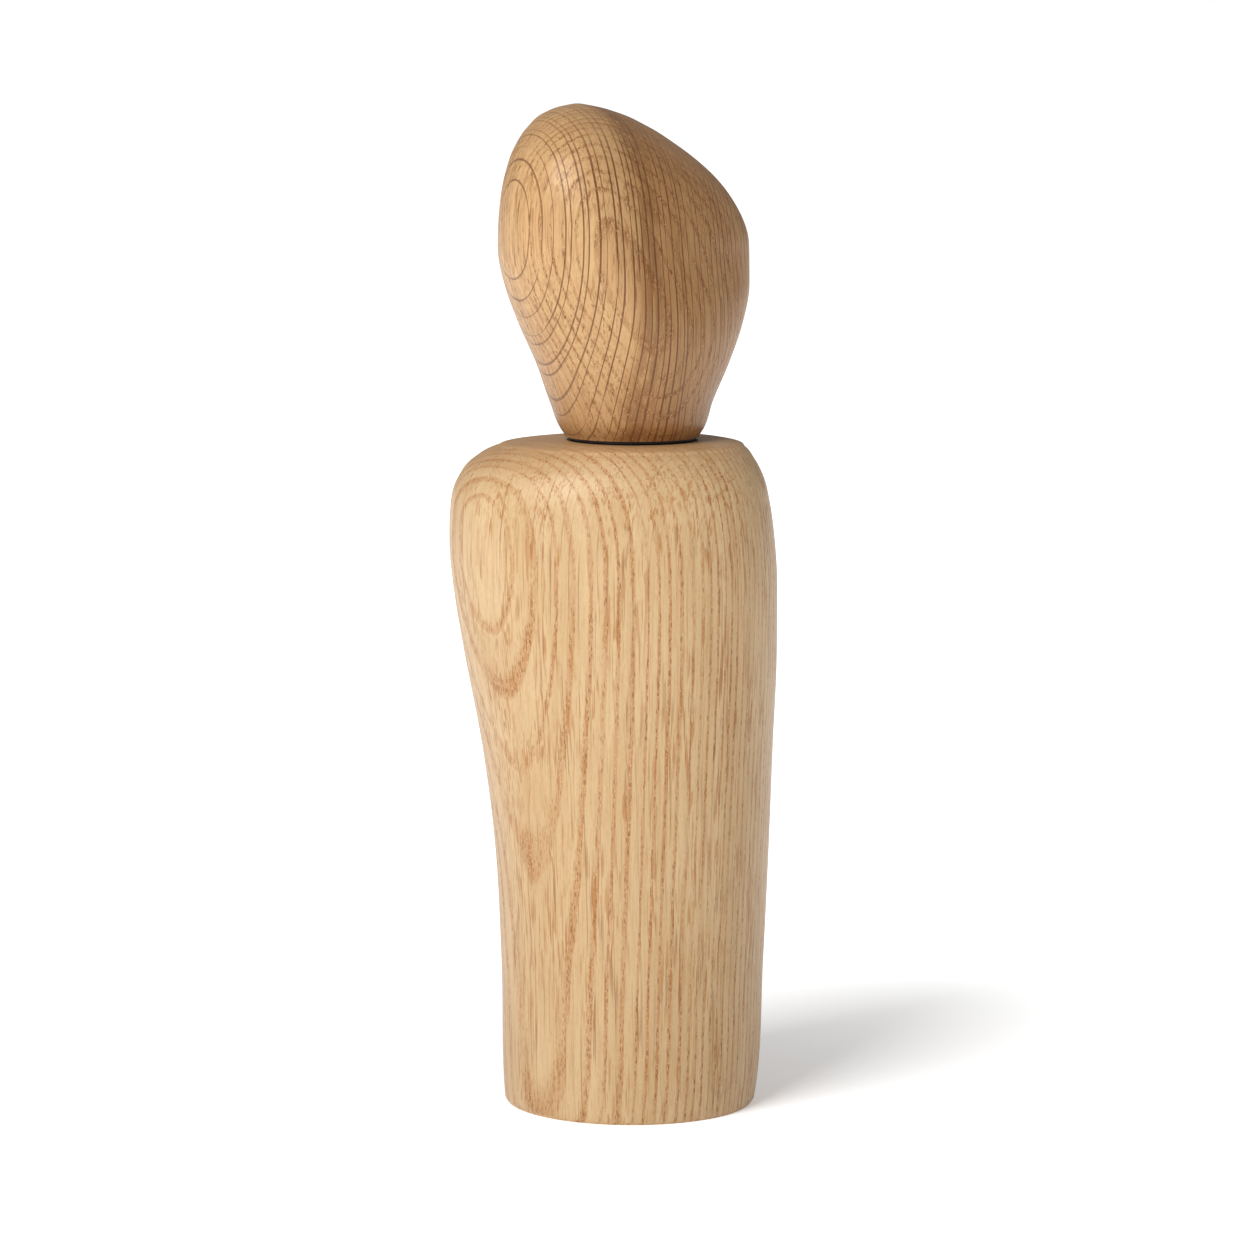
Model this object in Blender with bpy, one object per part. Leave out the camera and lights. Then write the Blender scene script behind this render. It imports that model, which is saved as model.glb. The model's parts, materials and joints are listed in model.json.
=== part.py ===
"""A pepper mill carved as a plain two-part figure: a broad-shouldered wooden body and a pebble-shaped head.

The head turns a hexagonal shaft that drives a ceramic cone in the base. It pulls off for filling.
A ring under the foot raises and lowers the ceramic ring round the cone, which sets the coarseness.
Everything is built about the mill's axis, in millimetres, and turned into metres when a mesh is made.
"""

import math
from typing import NamedTuple

import bmesh
import bpy
import numpy as np

MM = 0.001
GAP = 0.3  # left between pieces that touch

# ---------------------------------------------------------------- driving dimensions, in millimetres
AXIS_X = 3.8  # the mill's axis stands right of the middle, because the left shoulder is the broader one
BODY_HEIGHT = 140.0
HEAD_BASE = 141.0
HEAD_TOP = 209.6

FOOT_RECESS_R, FOOT_RECESS_TOP = 22.5, 5.5
MECHANISM_BORE_R, MECHANISM_BORE_TOP = 19.0, 44.0
SNAP_GROOVE_R, SNAP_GROOVE_LOW, SNAP_GROOVE_HIGH = 20.2, 31.0, 35.0
CHAMBER_R, CHAMBER_TOP = 15.0, 118.0
NECK_BORE_R, NECK_BORE_LOW = 12.3, 122.0
BUSH_SEAT_R, BUSH_SEAT_LOW = 13.3, 138.6
HEAD_BORE_R, HEAD_BORE_TOP = 10.0, 171.5

SHAFT_FLATS = 8.0  # across flats of the hexagonal shaft
SHAFT_LOW, SHAFT_HIGH = 13.5, 166.0
SOCKET_FLATS = SHAFT_FLATS + 2 * GAP  # across flats of every hexagonal bore on the shaft
CLIP_HEIGHT = 45.3  # middle of the clip that hangs the shaft on its bearing
GRIP_HEIGHT = 158.0  # middle of the spring ring that holds the head on the shaft
RING_GROOVE_R = 3.6

HOUSING_R, HOUSING_BORE_R = 18.7, 17.0
HOUSING_LOW, HOUSING_HIGH = 3.2, 40.0
SLOT_ANGLES = (30.0, 150.0, 270.0)  # where the stator's keys slide
LUG_ANGLES = (90.0, 210.0, 330.0)  # where the housing snaps into the wood
SHOULDER_LOW, SHOULDER_HIGH, SHOULDER_R = 14.3, 15.5, 15.8

BURR_BASE = 16.6  # height at which the two burr radii below are taken
RING_BURR_R, CONE_BURR_R = 12.0, 11.4
BURR_SLOPE = -0.25  # radius per height, the same on cone and ring, so the gap is even
TOOTH_DEPTH = 0.8
TEETH = 12

PIN_STEPS, ROUND_STEPS, FORM_STEPS = 24, 36, 48  # sides of a small, an ordinary and a large round shape
ELLIPSE = 0.5523  # handle length of a curve's quarter that makes it an ellipse


# ---------------------------------------------------------------- the two carved outlines
class BodyStation(NamedTuple):
    """The body's plan at one height. Above ELLIPSE the plan is squarer than an ellipse."""

    height: float
    left: float
    right: float
    depth: float
    fullness: float


class HeadStation(NamedTuple):
    """The head's plan at one height, from its four outermost points. A low facet is a flat right front."""

    height: float
    left: float
    right: float
    depth: float
    ridge_x: float
    back_x: float
    left_y: float
    right_y: float
    facet: float
    cheek: float


BODY_STATIONS = (
    BodyStation(0.0, 25.9, 25.9, 25.9, ELLIPSE),
    BodyStation(0.8, 26.4, 26.4, 26.4, ELLIPSE),
    BodyStation(30.0, 27.2, 28.1, 27.2, 0.56),
    BodyStation(57.0, 28.8, 29.2, 27.9, 0.57),
    BodyStation(76.0, 31.3, 29.8, 28.4, 0.58),
    BodyStation(96.0, 35.1, 30.5, 28.9, 0.59),
    BodyStation(108.0, 37.1, 30.5, 29.0, 0.60),
    BodyStation(119.0, 38.1, 29.9, 28.8, 0.60),
    BodyStation(127.0, 37.8, 28.8, 27.9, 0.60),
    BodyStation(132.0, 36.3, 27.6, 26.6, 0.60),
    BodyStation(136.0, 33.1, 25.6, 24.5, 0.58),
    BodyStation(138.6, 28.4, 23.6, 22.2, 0.56),
    BodyStation(139.6, 24.9, 22.2, 20.6, ELLIPSE),
    BodyStation(BODY_HEIGHT, 20.5, 20.0, 18.6, ELLIPSE),
)

HEAD_STATIONS = (
    HeadStation(HEAD_BASE, 14.0, 13.9, 13.9, 0.0, 0.0, 0.0, 0.0, ELLIPSE, ELLIPSE),
    HeadStation(141.5, 14.6, 14.5, 14.5, 0.0, 0.0, 0.0, 0.0, ELLIPSE, ELLIPSE),
    HeadStation(148.2, 17.4, 17.2, 17.4, 1.5, 0.0, -1.0, 2.0, 0.48, 0.56),
    HeadStation(156.0, 20.0, 20.3, 20.6, 2.0, 0.0, -2.0, 5.0, 0.42, 0.57),
    HeadStation(164.0, 23.5, 23.1, 23.6, 0.0, 1.0, -3.0, 8.0, 0.37, 0.58),
    HeadStation(172.0, 26.4, 24.5, 25.6, -3.0, 2.0, -4.0, 11.0, 0.32, 0.60),
    HeadStation(180.0, 27.9, 24.4, 26.4, -6.0, 3.0, -5.0, 13.0, 0.30, 0.60),
    HeadStation(188.0, 27.6, 21.7, 26.0, -8.5, 3.0, -5.0, 12.0, 0.32, 0.60),
    HeadStation(195.0, 26.5, 16.3, 24.2, -10.0, 0.0, -4.0, 10.0, 0.36, 0.60),
    HeadStation(201.0, 24.4, 8.9, 20.8, -10.5, -5.0, -3.0, 8.0, 0.42, 0.58),
    HeadStation(205.0, 21.7, 2.6, 16.4, -10.5, -8.0, -2.0, 5.0, 0.48, ELLIPSE),
    HeadStation(207.7, 18.5, -3.2, 10.8, -11.0, -10.0, -1.0, 2.0, ELLIPSE, ELLIPSE),
    HeadStation(209.0, 15.2, -7.6, 6.0, -11.6, -11.6, 0.0, 0.0, ELLIPSE, ELLIPSE),
    HeadStation(HEAD_TOP, 12.4, -10.8, 0.9, -11.6, -11.6, 0.0, 0.0, ELLIPSE, ELLIPSE),
)


def station_at(stations, height):
    """The station at a height, along a cubic through the listed ones that never swings past them."""
    rows = np.array(stations, dtype=float)
    heights = rows[:, 0]
    steps = np.diff(heights)[:, None]
    rises = np.diff(rows, axis=0) / steps
    slopes = np.empty_like(rows)
    slopes[0], slopes[-1] = rises[0], rises[-1]
    blend = (rises[:-1] * steps[1:] + rises[1:] * steps[:-1]) / (steps[1:] + steps[:-1])
    most = 3.0 * np.minimum(np.abs(rises[:-1]), np.abs(rises[1:]))
    inner = np.sign(blend) * np.minimum(np.abs(blend), most)
    slopes[1:-1] = np.where(rises[:-1] * rises[1:] > 0, inner, 0.0)
    index = int(np.clip(np.searchsorted(heights, height, side="right") - 1, 0, len(rows) - 2))
    step = steps[index, 0]
    t = (height - heights[index]) / step
    start, end = rows[index], rows[index + 1]
    leave, arrive = slopes[index] * step, slopes[index + 1] * step
    row = (
        (2 * t**3 - 3 * t**2 + 1) * start
        + (t**3 - 2 * t**2 + t) * leave
        + (3 * t**2 - 2 * t**3) * end
        + (t**3 - t**2) * arrive
    )
    return type(stations[0])(*row)


def plan_curve(extremes, handles, count):
    """Closed plan curve through its right, back, left and front points, as four cubic quarters."""
    points = []
    per_quarter = count // 4
    for quarter, handle in enumerate(handles):
        start = np.array(extremes[quarter])
        end = np.array(extremes[(quarter + 1) % 4])
        across, along = np.array((end[0] - start[0], 0.0)), np.array((0.0, end[1] - start[1]))
        leaves_along = quarter % 2 == 0
        first = start + handle * (along if leaves_along else across)
        second = end - handle * (across if leaves_along else along)
        for index in range(per_quarter):
            t = index / per_quarter
            u = 1.0 - t
            points.append(u**3 * start + 3 * u**2 * t * first + 3 * u * t**2 * second + t**3 * end)
    return points


def body_plan(height, count):
    """Plan points of the body at a height."""
    s = station_at(BODY_STATIONS, height)
    extremes = ((s.right, 0.0), (0.0, s.depth), (-s.left, 0.0), (0.0, -s.depth))
    return plan_curve(extremes, (s.fullness,) * 4, count)


def head_plan(height, count):
    """Plan points of the head at a height."""
    s = station_at(HEAD_STATIONS, height)
    extremes = ((s.right, s.right_y), (s.back_x, s.depth), (-s.left, s.left_y), (s.ridge_x, -s.depth))
    return plan_curve(extremes, (ELLIPSE, ELLIPSE, s.cheek, s.facet), count)


def crowding_upwards(low, high, count):
    """Heights from low to high that lie closer together towards the top."""
    return [low + (high - low) * math.sin(math.pi / 2 * index / count) for index in range(count + 1)]


# ---------------------------------------------------------------- tools for meshes
def clear_scene():
    for old in list(bpy.data.objects):
        bpy.data.objects.remove(old)


def axis_empty(name):
    """An empty on the mill's axis, which the pieces of one moving body hang from."""
    empty = bpy.data.objects.new(name, None)
    empty.location = (AXIS_X * MM, 0.0, 0.0)
    bpy.context.scene.collection.objects.link(empty)
    return empty


def finish(name, colour, roughness, metallic):
    """A plain Principled material."""
    material = bpy.data.materials.new(name)
    material.use_nodes = True
    shader = material.node_tree.nodes["Principled BSDF"]
    shader.inputs["Base Color"].default_value = (*colour, 1.0)
    shader.inputs["Roughness"].default_value = roughness
    shader.inputs["Metallic"].default_value = metallic
    return material


def oak(name, colour):
    return finish(name, colour, 0.5, 0.0)


def moulded(name, colour=(0.02, 0.02, 0.022)):
    return finish(name, colour, 0.45, 0.0)


def ceramic(name):
    return finish(name, (0.82, 0.80, 0.75), 0.35, 0.0)


def metal(name, colour, roughness=0.3):
    return finish(name, colour, roughness, 1.0)


STEEL = (0.56, 0.56, 0.55)
ALUMINIUM = (0.78, 0.78, 0.79)
GREY_PLASTIC = (0.10, 0.10, 0.11)


def new_object(name, bm, parent):
    """Turns a mesh in millimetres into an object in metres under one of the axis empties."""
    bmesh.ops.recalc_face_normals(bm, faces=bm.faces)
    bmesh.ops.scale(bm, vec=(MM, MM, MM), verts=bm.verts)
    mesh = bpy.data.meshes.new(name)
    bm.to_mesh(mesh)
    bm.free()
    mesh.shade_smooth()
    mesh.set_sharp_from_angle(angle=math.radians(35.0))
    piece = bpy.data.objects.new(name, mesh)
    piece.parent = parent
    bpy.context.scene.collection.objects.link(piece)
    return piece


def dressed(piece, material):
    piece.data.materials.append(material)
    return piece


def add_skin(bm, rings, closed=False):
    """Joins neighbouring rings of points with four-sided faces. A ring of one point is a pole."""
    pairs = list(zip(rings, rings[1:]))
    if closed:
        pairs.append((rings[-1], rings[0]))
    for lower, upper in pairs:
        count = max(len(lower), len(upper))
        if count == 1:
            continue
        for index in range(count):
            following = (index + 1) % count
            corners = [lower[index % len(lower)], lower[following % len(lower)]]
            corners += [upper[following % len(upper)], upper[index % len(upper)]]
            bm.faces.new(list(dict.fromkeys(corners)))


def carved(name, plan, heights, count, parent):
    """A solid skinned over plan curves at the given heights, with flat ends."""
    bm = bmesh.new()
    rings = [[bm.verts.new((x, y, height)) for x, y in plan(height, count)] for height in heights]
    add_skin(bm, rings)
    bm.faces.new(rings[0])
    bm.faces.new(rings[-1])
    return new_object(name, bm, parent)


def add_turned(bm, profile, steps):
    """Turns a closed (radius, height) profile about the axis. A radius may depend on angle and height."""
    rings = []
    for radius, height in profile:
        ring = []
        for index in range(steps):
            angle = 2 * math.pi * index / steps
            r = radius(angle, height) if callable(radius) else radius
            if r == 0.0 and ring:
                break
            ring.append(bm.verts.new((r * math.cos(angle), r * math.sin(angle), height)))
        rings.append(ring)
    add_skin(bm, rings, closed=True)


def turned(name, profile, steps, parent):
    bm = bmesh.new()
    add_turned(bm, profile, steps)
    return new_object(name, bm, parent)


def washer(name, bore, rim, low, high, parent):
    profile = ((bore, low), (rim, low), (rim, high), (bore, high))
    return turned(name, profile, PIN_STEPS, parent)


def add_sector(bm, inner, outer, middle, half_width, low, high, steps=6):
    """An arc-shaped block between two radii and two heights. Angles are in degrees."""
    slices = []
    for index in range(steps + 1):
        angle = math.radians(middle - half_width + 2 * half_width * index / steps)
        c, s = math.cos(angle), math.sin(angle)
        corners = ((inner, low), (outer, low), (outer, high), (inner, high))
        slices.append([bm.verts.new((r * c, r * s, z)) for r, z in corners])
    add_skin(bm, slices)
    bm.faces.new(slices[0])
    bm.faces.new(slices[-1])


def sectors(name, blocks, parent):
    """Several arc-shaped blocks as one object."""
    bm = bmesh.new()
    for block in blocks:
        add_sector(bm, *block)
    return new_object(name, bm, parent)


def combine(piece, tool, operation):
    """Cuts or joins a hidden tool with a Boolean."""
    tool.hide_render = True
    tool.display_type = "WIRE"
    modifier = piece.modifiers.new(tool.name, "BOOLEAN")
    modifier.operation = operation
    modifier.object = tool


def cut(piece, tool):
    combine(piece, tool, "DIFFERENCE")


def join(piece, tool):
    combine(piece, tool, "UNION")


def wire(name, points, thickness, parent):
    """A bent round wire with closed ends."""
    curve = bpy.data.curves.new(name, "CURVE")
    curve.dimensions = "3D"
    curve.bevel_depth = thickness / 2 * MM
    curve.bevel_resolution = 1
    curve.use_fill_caps = True
    spline = curve.splines.new("POLY")
    spline.points.add(len(points) - 1)
    for target, point in zip(spline.points, points):
        target.co = (*(value * MM for value in point), 1.0)
    piece = bpy.data.objects.new(name, curve)
    piece.parent = parent
    bpy.context.scene.collection.objects.link(piece)
    return piece


def arc(radius, start, end, height, count):
    """Points along an arc about the axis. Angles are in degrees."""
    angles = np.radians(np.linspace(start, end, count))
    return [(radius * math.cos(a), radius * math.sin(a), height) for a in angles]


# ---------------------------------------------------------------- radii that change round the axis
def hexagon(flats):
    """Radius of a hexagon, with a corner at angle 0."""
    sixth = math.pi / 3

    def radius(angle, _height):
        return flats / 2 / math.cos(angle % sixth - sixth / 2)

    return radius


def scalloped(rim, depth, count):
    """A rim with rounded notches."""

    def radius(angle, _height):
        return rim - depth * (0.5 + 0.5 * math.cos(count * angle))

    return radius


def toothed(burr_radius, depth, turns_per_mm):
    """A cone's radius with slanted teeth. A positive depth cuts outwards, as a ring's teeth are cut."""

    def radius(angle, height):
        surface = burr_radius + BURR_SLOPE * (height - BURR_BASE)
        phase = (TEETH * (angle / (2 * math.pi) + turns_per_mm * height)) % 1.0
        return surface + depth * phase

    return radius


# ---------------------------------------------------------------- body: what stands still
def make_body_shell(parent):
    """The oak body, bored through from foot to neck."""
    heights = [0.0] + crowding_upwards(0.8, BODY_HEIGHT, 20)
    shell = carved("body_shell", body_plan, heights, FORM_STEPS, parent)
    beyond = 2.0
    bore = turned(
        "body_bore_cutter",
        (
            (0.0, -beyond),
            (FOOT_RECESS_R, -beyond),
            (FOOT_RECESS_R, FOOT_RECESS_TOP),
            (MECHANISM_BORE_R, FOOT_RECESS_TOP),
            (MECHANISM_BORE_R, SNAP_GROOVE_LOW),
            (SNAP_GROOVE_R, SNAP_GROOVE_LOW),
            (SNAP_GROOVE_R, SNAP_GROOVE_HIGH),
            (MECHANISM_BORE_R, SNAP_GROOVE_HIGH),
            (MECHANISM_BORE_R, MECHANISM_BORE_TOP),
            (CHAMBER_R, MECHANISM_BORE_TOP),
            (CHAMBER_R, CHAMBER_TOP),
            (NECK_BORE_R, NECK_BORE_LOW),
            (NECK_BORE_R, BUSH_SEAT_LOW),
            (BUSH_SEAT_R, BUSH_SEAT_LOW),
            (BUSH_SEAT_R, BODY_HEIGHT + beyond),
            (0.0, BODY_HEIGHT + beyond),
        ),
        ROUND_STEPS,
        parent,
    )
    cut(shell, bore)
    dressed(shell, oak("body_oak", (0.62, 0.43, 0.25)))


def make_neck_bush(parent):
    """The plastic collar pressed into the body's mouth, which centres the head's spigot."""
    bore, sleeve, rim = 10.8, NECK_BORE_R - GAP, BUSH_SEAT_R - GAP
    low, lead_in = 126.0, 1.0
    step, top = BUSH_SEAT_LOW + GAP, BODY_HEIGHT - 0.1
    profile = (
        (bore, low + lead_in),
        (sleeve - 0.4, low),
        (sleeve, low + lead_in),
        (sleeve, step),
        (rim, step),
        (rim, top),
        (bore + 0.4, top),
        (bore, top - 0.4),
    )
    bush = turned("neck_bush", profile, ROUND_STEPS, parent)
    dressed(bush, moulded("neck_bush_plastic"))


def make_mechanism_housing(parent):
    """The moulded tube that snaps into the base and holds the burrs."""
    flange_r, flange_top = FOOT_RECESS_R - GAP, FOOT_RECESS_TOP - GAP
    groove_r, groove_low, groove_high = 18.0, 3.8, 5.0
    profile = (
        (HOUSING_BORE_R, HOUSING_LOW),
        (flange_r, HOUSING_LOW),
        (flange_r, flange_top),
        (HOUSING_R, flange_top),
        (HOUSING_R, HOUSING_HIGH),
        (HOUSING_BORE_R, HOUSING_HIGH),
        (HOUSING_BORE_R, SHOULDER_HIGH),
        (SHOULDER_R, SHOULDER_HIGH),
        (SHOULDER_R, SHOULDER_LOW),
        (HOUSING_BORE_R, SHOULDER_LOW),
        (HOUSING_BORE_R, groove_high),
        (groove_r, groove_high),
        (groove_r, groove_low),
        (HOUSING_BORE_R, groove_low),
    )
    housing = turned("mechanism_housing", profile, ROUND_STEPS, parent)
    slot_r, slot_half = HOUSING_BORE_R + 0.9, 6.0
    slot_low, slot_high = SHOULDER_HIGH + 0.2, HOUSING_HIGH + 1.0
    slots = [(SHOULDER_R - 1.0, slot_r, angle, slot_half, slot_low, slot_high) for angle in SLOT_ANGLES]
    spring_pocket = (HOUSING_BORE_R - 1.0, HOUSING_BORE_R + 1.0, 90.0, 22.0, 8.0, 13.0)
    cut(housing, sectors("housing_slot_cutters", [*slots, spring_pocket], parent))
    lug_low, lug_high = SNAP_GROOVE_LOW + GAP, SNAP_GROOVE_HIGH - GAP
    lugs = [(HOUSING_R - 0.4, SNAP_GROOVE_R - GAP, angle, 6.0, lug_low, lug_high) for angle in LUG_ANGLES]
    join(housing, sectors("housing_snap_lugs", lugs, parent))
    dressed(housing, moulded("housing_plastic", GREY_PLASTIC))


def make_bearing_bridge(parent):
    """The three-armed cover of the housing, with a hub for the shaft and windows for the corns."""
    low, high = HOUSING_HIGH + GAP, 43.5
    bore, hub, window_r = 7.2, 9.2, 14.8
    profile = ((bore, low), (HOUSING_R, low), (HOUSING_R, high), (bore, high))
    bridge = turned("bearing_bridge", profile, ROUND_STEPS, parent)
    arm_half = 10.0
    half = 60.0 - arm_half
    windows = [(hub, window_r, angle, half, low - 1.0, high + 1.0, 10) for angle in (0.0, 120.0, 240.0)]
    cut(bridge, sectors("bridge_window_cutters", windows, parent))
    dressed(bridge, moulded("bridge_plastic", GREY_PLASTIC))


def make_adjuster_circlip(parent):
    """The open steel ring in the housing's groove that keeps the adjusting ring up."""
    circlip = sectors("adjuster_circlip", [(15.7, 17.7, 270.0, 170.0, 4.0, 4.8, 34)], parent)
    dressed(circlip, metal("circlip_steel", STEEL))


def make_click_spring(parent):
    """The leaf in the housing's pocket that clicks in the adjusting ring's notches."""
    low, high, leaf = 8.5, 12.5, 0.35
    rest_r, bump, half_width, steps = 17.2, 0.25, 18.0, 14
    bm = bmesh.new()
    slices = []
    for index in range(steps + 1):
        turn = -1.0 + 2.0 * index / steps
        angle = math.radians(90.0 + half_width * turn)
        inner = rest_r - bump * math.exp(-((turn / 0.22) ** 2))
        c, s = math.cos(angle), math.sin(angle)
        corners = ((inner, low), (inner + leaf, low), (inner + leaf, high), (inner, high))
        slices.append([bm.verts.new((r * c, r * s, z)) for r, z in corners])
    add_skin(bm, slices)
    bm.faces.new(slices[0])
    bm.faces.new(slices[-1])
    dressed(new_object("click_spring", bm, parent), metal("click_spring_steel", STEEL))


def make_preload_spring(parent):
    """The coil under the bridge that presses the stator down and takes up the thread's play."""
    radius, thickness, turns, per_turn = 15.2, 1.0, 3, 14
    low, high = 29.9, 39.4
    count = turns * per_turn
    points = []
    for index in range(count + 1):
        angle = 2 * math.pi * index / per_turn
        height = low + (high - low) * index / count
        points.append((radius * math.cos(angle), radius * math.sin(angle), height))
    dressed(wire("preload_spring", points, thickness, parent), metal("preload_spring_steel", STEEL))


# ---------------------------------------------------------------- drive: what turns with the shaft
def make_drive_shaft(parent):
    """The hexagonal aluminium bar from the burr to the head, with a groove for each spring ring."""
    hexa = hexagon(SHAFT_FLATS)
    groove_half, chamfer = 0.7, 1.0
    tip = hexagon(SHAFT_FLATS - 2 * chamfer)
    hole_r, hole_top = 2.2, 25.0
    profile = [(hole_r, hole_top), (hole_r, SHAFT_LOW), (hexa, SHAFT_LOW)]
    for middle in (CLIP_HEIGHT, GRIP_HEIGHT):
        profile += [(hexa, middle - groove_half), (RING_GROOVE_R, middle - groove_half)]
        profile += [(RING_GROOVE_R, middle + groove_half), (hexa, middle + groove_half)]
    profile += [(hexa, SHAFT_HIGH - chamfer), (tip, SHAFT_HIGH), (0.0, SHAFT_HIGH), (0.0, hole_top)]
    shaft = turned("drive_shaft", profile, PIN_STEPS, parent)
    dressed(shaft, metal("shaft_aluminium", ALUMINIUM))


def make_shaft_bush(parent):
    """The round plastic bearing with a hexagonal bore, which runs in the bridge's hub."""
    bore = hexagon(SOCKET_FLATS)
    sleeve, rim = 6.9, 8.6
    low, shoulder, top = 39.2, 43.8, 44.4
    profile = ((bore, low), (sleeve, low), (sleeve, shoulder), (rim, shoulder), (rim, top), (bore, top))
    finish_of_bush = moulded("shaft_bush_plastic", (0.72, 0.70, 0.66))
    dressed(turned("shaft_bush", profile, PIN_STEPS, parent), finish_of_bush)


def make_shaft_clip(parent):
    """The open clip in the shaft's groove, which hangs the drive on its bearing."""
    low, high = CLIP_HEIGHT - 0.4, CLIP_HEIGHT + 0.4
    clip = sectors("shaft_clip", [(RING_GROOVE_R + GAP, 7.0, 90.0, 140.0, low, high, 20)], parent)
    dressed(clip, metal("shaft_clip_steel", STEEL))


def make_thrust_washer(parent):
    """The steel washer between the auger and the bridge."""
    dressed(washer("thrust_washer", 7.2, 9.6, 39.2, 40.0, parent), metal("thrust_washer_steel", STEEL))


def make_feed_auger(parent):
    """The three-bladed screw that cracks the corns and feeds them to the burrs."""
    low, high, core = 29.9, 38.9, 6.4
    profile = ((hexagon(SOCKET_FLATS), low), (core, low), (core, high), (hexagon(SOCKET_FLATS), high))
    auger = turned("feed_auger", profile, PIN_STEPS, parent)
    blades, blade_turn, steps, thickness = 3, 130.0, 10, 1.6
    foot_r, tip_low, tip_high = core - 0.7, 10.0, 8.6
    bm = bmesh.new()
    for blade in range(blades):
        slices = []
        for index in range(steps + 1):
            t = index / steps
            angle = math.radians(360.0 / blades * blade - blade_turn * t)
            middle = low + thickness / 2 + 0.2 + (high - low - thickness - 0.4) * t
            tip = tip_low + (tip_high - tip_low) * t
            c, s = math.cos(angle), math.sin(angle)
            corners = ((foot_r, -0.5), (tip, -0.35), (tip, 0.35), (foot_r, 0.5))
            slices.append([bm.verts.new((r * c, r * s, middle + z * thickness)) for r, z in corners])
        add_skin(bm, slices)
        bm.faces.new(slices[0])
        bm.faces.new(slices[-1])
    join(auger, new_object("auger_blades", bm, parent))
    dressed(auger, moulded("auger_plastic", (0.72, 0.70, 0.66)))


def make_rotor_hub(parent):
    """The plastic core that drives the ceramic cone from the shaft."""
    bore = hexagon(SOCKET_FLATS)
    core, rim, low, shelf, top = 6.0, 9.0, 13.2, 14.7, 29.6
    profile = ((bore, low), (rim, low), (rim, shelf), (core, shelf), (core, top), (bore, top))
    finish_of_hub = moulded("rotor_hub_plastic", (0.72, 0.70, 0.66))
    dressed(turned("rotor_hub", profile, PIN_STEPS, parent), finish_of_hub)


def make_grinding_cone(parent):
    """The ceramic cone that turns inside the ring."""
    bore, low, high, rows, twist = 6.3, 15.0, 29.0, 6, 0.012
    surface = toothed(CONE_BURR_R, -TOOTH_DEPTH, twist)
    profile = [(bore, low)]
    profile += [(surface, low + (high - low) * row / rows) for row in range(rows + 1)]
    profile.append((bore, high))
    dressed(turned("grinding_cone", profile, FORM_STEPS, parent), ceramic("cone_ceramic"))


def make_lower_washer(parent):
    """The washer under the rotor."""
    dressed(washer("lower_washer", 2.4, 7.0, 12.1, 12.9, parent), metal("lower_washer_steel", STEEL))


def make_rotor_screw(parent):
    """The socket-headed screw that holds the rotor on the shaft."""
    shank, head, head_low, head_high, top = 1.8, 4.0, 8.4, 11.8, 24.0
    socket, socket_top, chamfer = hexagon(3.0), 10.4, 0.5
    profile = (
        (0.0, socket_top),
        (socket, socket_top),
        (socket, head_low),
        (head - chamfer, head_low),
        (head, head_low + chamfer),
        (head, head_high),
        (shank, head_high),
        (shank, top - chamfer),
        (shank - chamfer, top),
        (0.0, top),
    )
    dressed(turned("rotor_screw", profile, PIN_STEPS, parent), metal("screw_steel", STEEL))


# ---------------------------------------------------------------- head: what pulls off for filling
def make_head_shell(parent):
    """The oak head, with a blind bore up from its flat underside."""
    heights = [HEAD_BASE] + crowding_upwards(HEAD_BASE + 0.5, HEAD_TOP, 18)
    shell = carved("head_shell", head_plan, heights, FORM_STEPS, parent)
    low, point = HEAD_BASE - 2.0, HEAD_BORE_TOP + 2.5
    profile = ((0.0, low), (HEAD_BORE_R, low), (HEAD_BORE_R, HEAD_BORE_TOP), (0.0, point))
    cut(shell, turned("head_bore_cutter", profile, ROUND_STEPS, parent))
    dressed(shell, oak("head_oak", (0.52, 0.33, 0.17)))


def make_head_insert(parent):
    """The black plastic socket in the head. Its flange is the dark line at the neck."""
    bore = hexagon(SOCKET_FLATS)
    spigot_r, spigot_bore, spigot_low = 10.4, 9.0, 133.0
    flange_low, flange_high, flange_r = 140.2, HEAD_BASE - GAP, 13.3
    stem_r, barb, stem_top = HEAD_BORE_R - GAP - 0.4, 0.4, 170.0
    funnel_low, funnel_high = 142.0, 145.0
    groove_r, groove_half = 6.3, 1.0
    profile = [
        (spigot_bore, funnel_low),
        (spigot_bore, spigot_low),
        (spigot_r - 0.5, spigot_low),
        (spigot_r, spigot_low + 1.0),
        (spigot_r, flange_low),
        (flange_r, flange_low),
        (flange_r, flange_high),
        (stem_r, flange_high),
    ]
    for foot in (148.0, 155.0, 162.0):
        profile += [(stem_r, foot), (stem_r + barb, foot + 0.3), (stem_r, foot + 3.0)]
    profile += [
        (stem_r, stem_top),
        (bore, stem_top),
        (bore, GRIP_HEIGHT + groove_half),
        (groove_r, GRIP_HEIGHT + groove_half),
        (groove_r, GRIP_HEIGHT - groove_half),
        (bore, GRIP_HEIGHT - groove_half),
        (bore, funnel_high),
    ]
    dressed(turned("head_insert", profile, PIN_STEPS, parent), moulded("head_insert_plastic"))


def make_grip_ring(parent):
    """The open spring ring that snaps into the shaft's top groove and holds the head on."""
    points = arc(5.45, 110.0, 430.0, GRIP_HEIGHT, 28)
    dressed(wire("grip_ring", points, 0.9, parent), metal("grip_ring_steel", STEEL))


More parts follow.
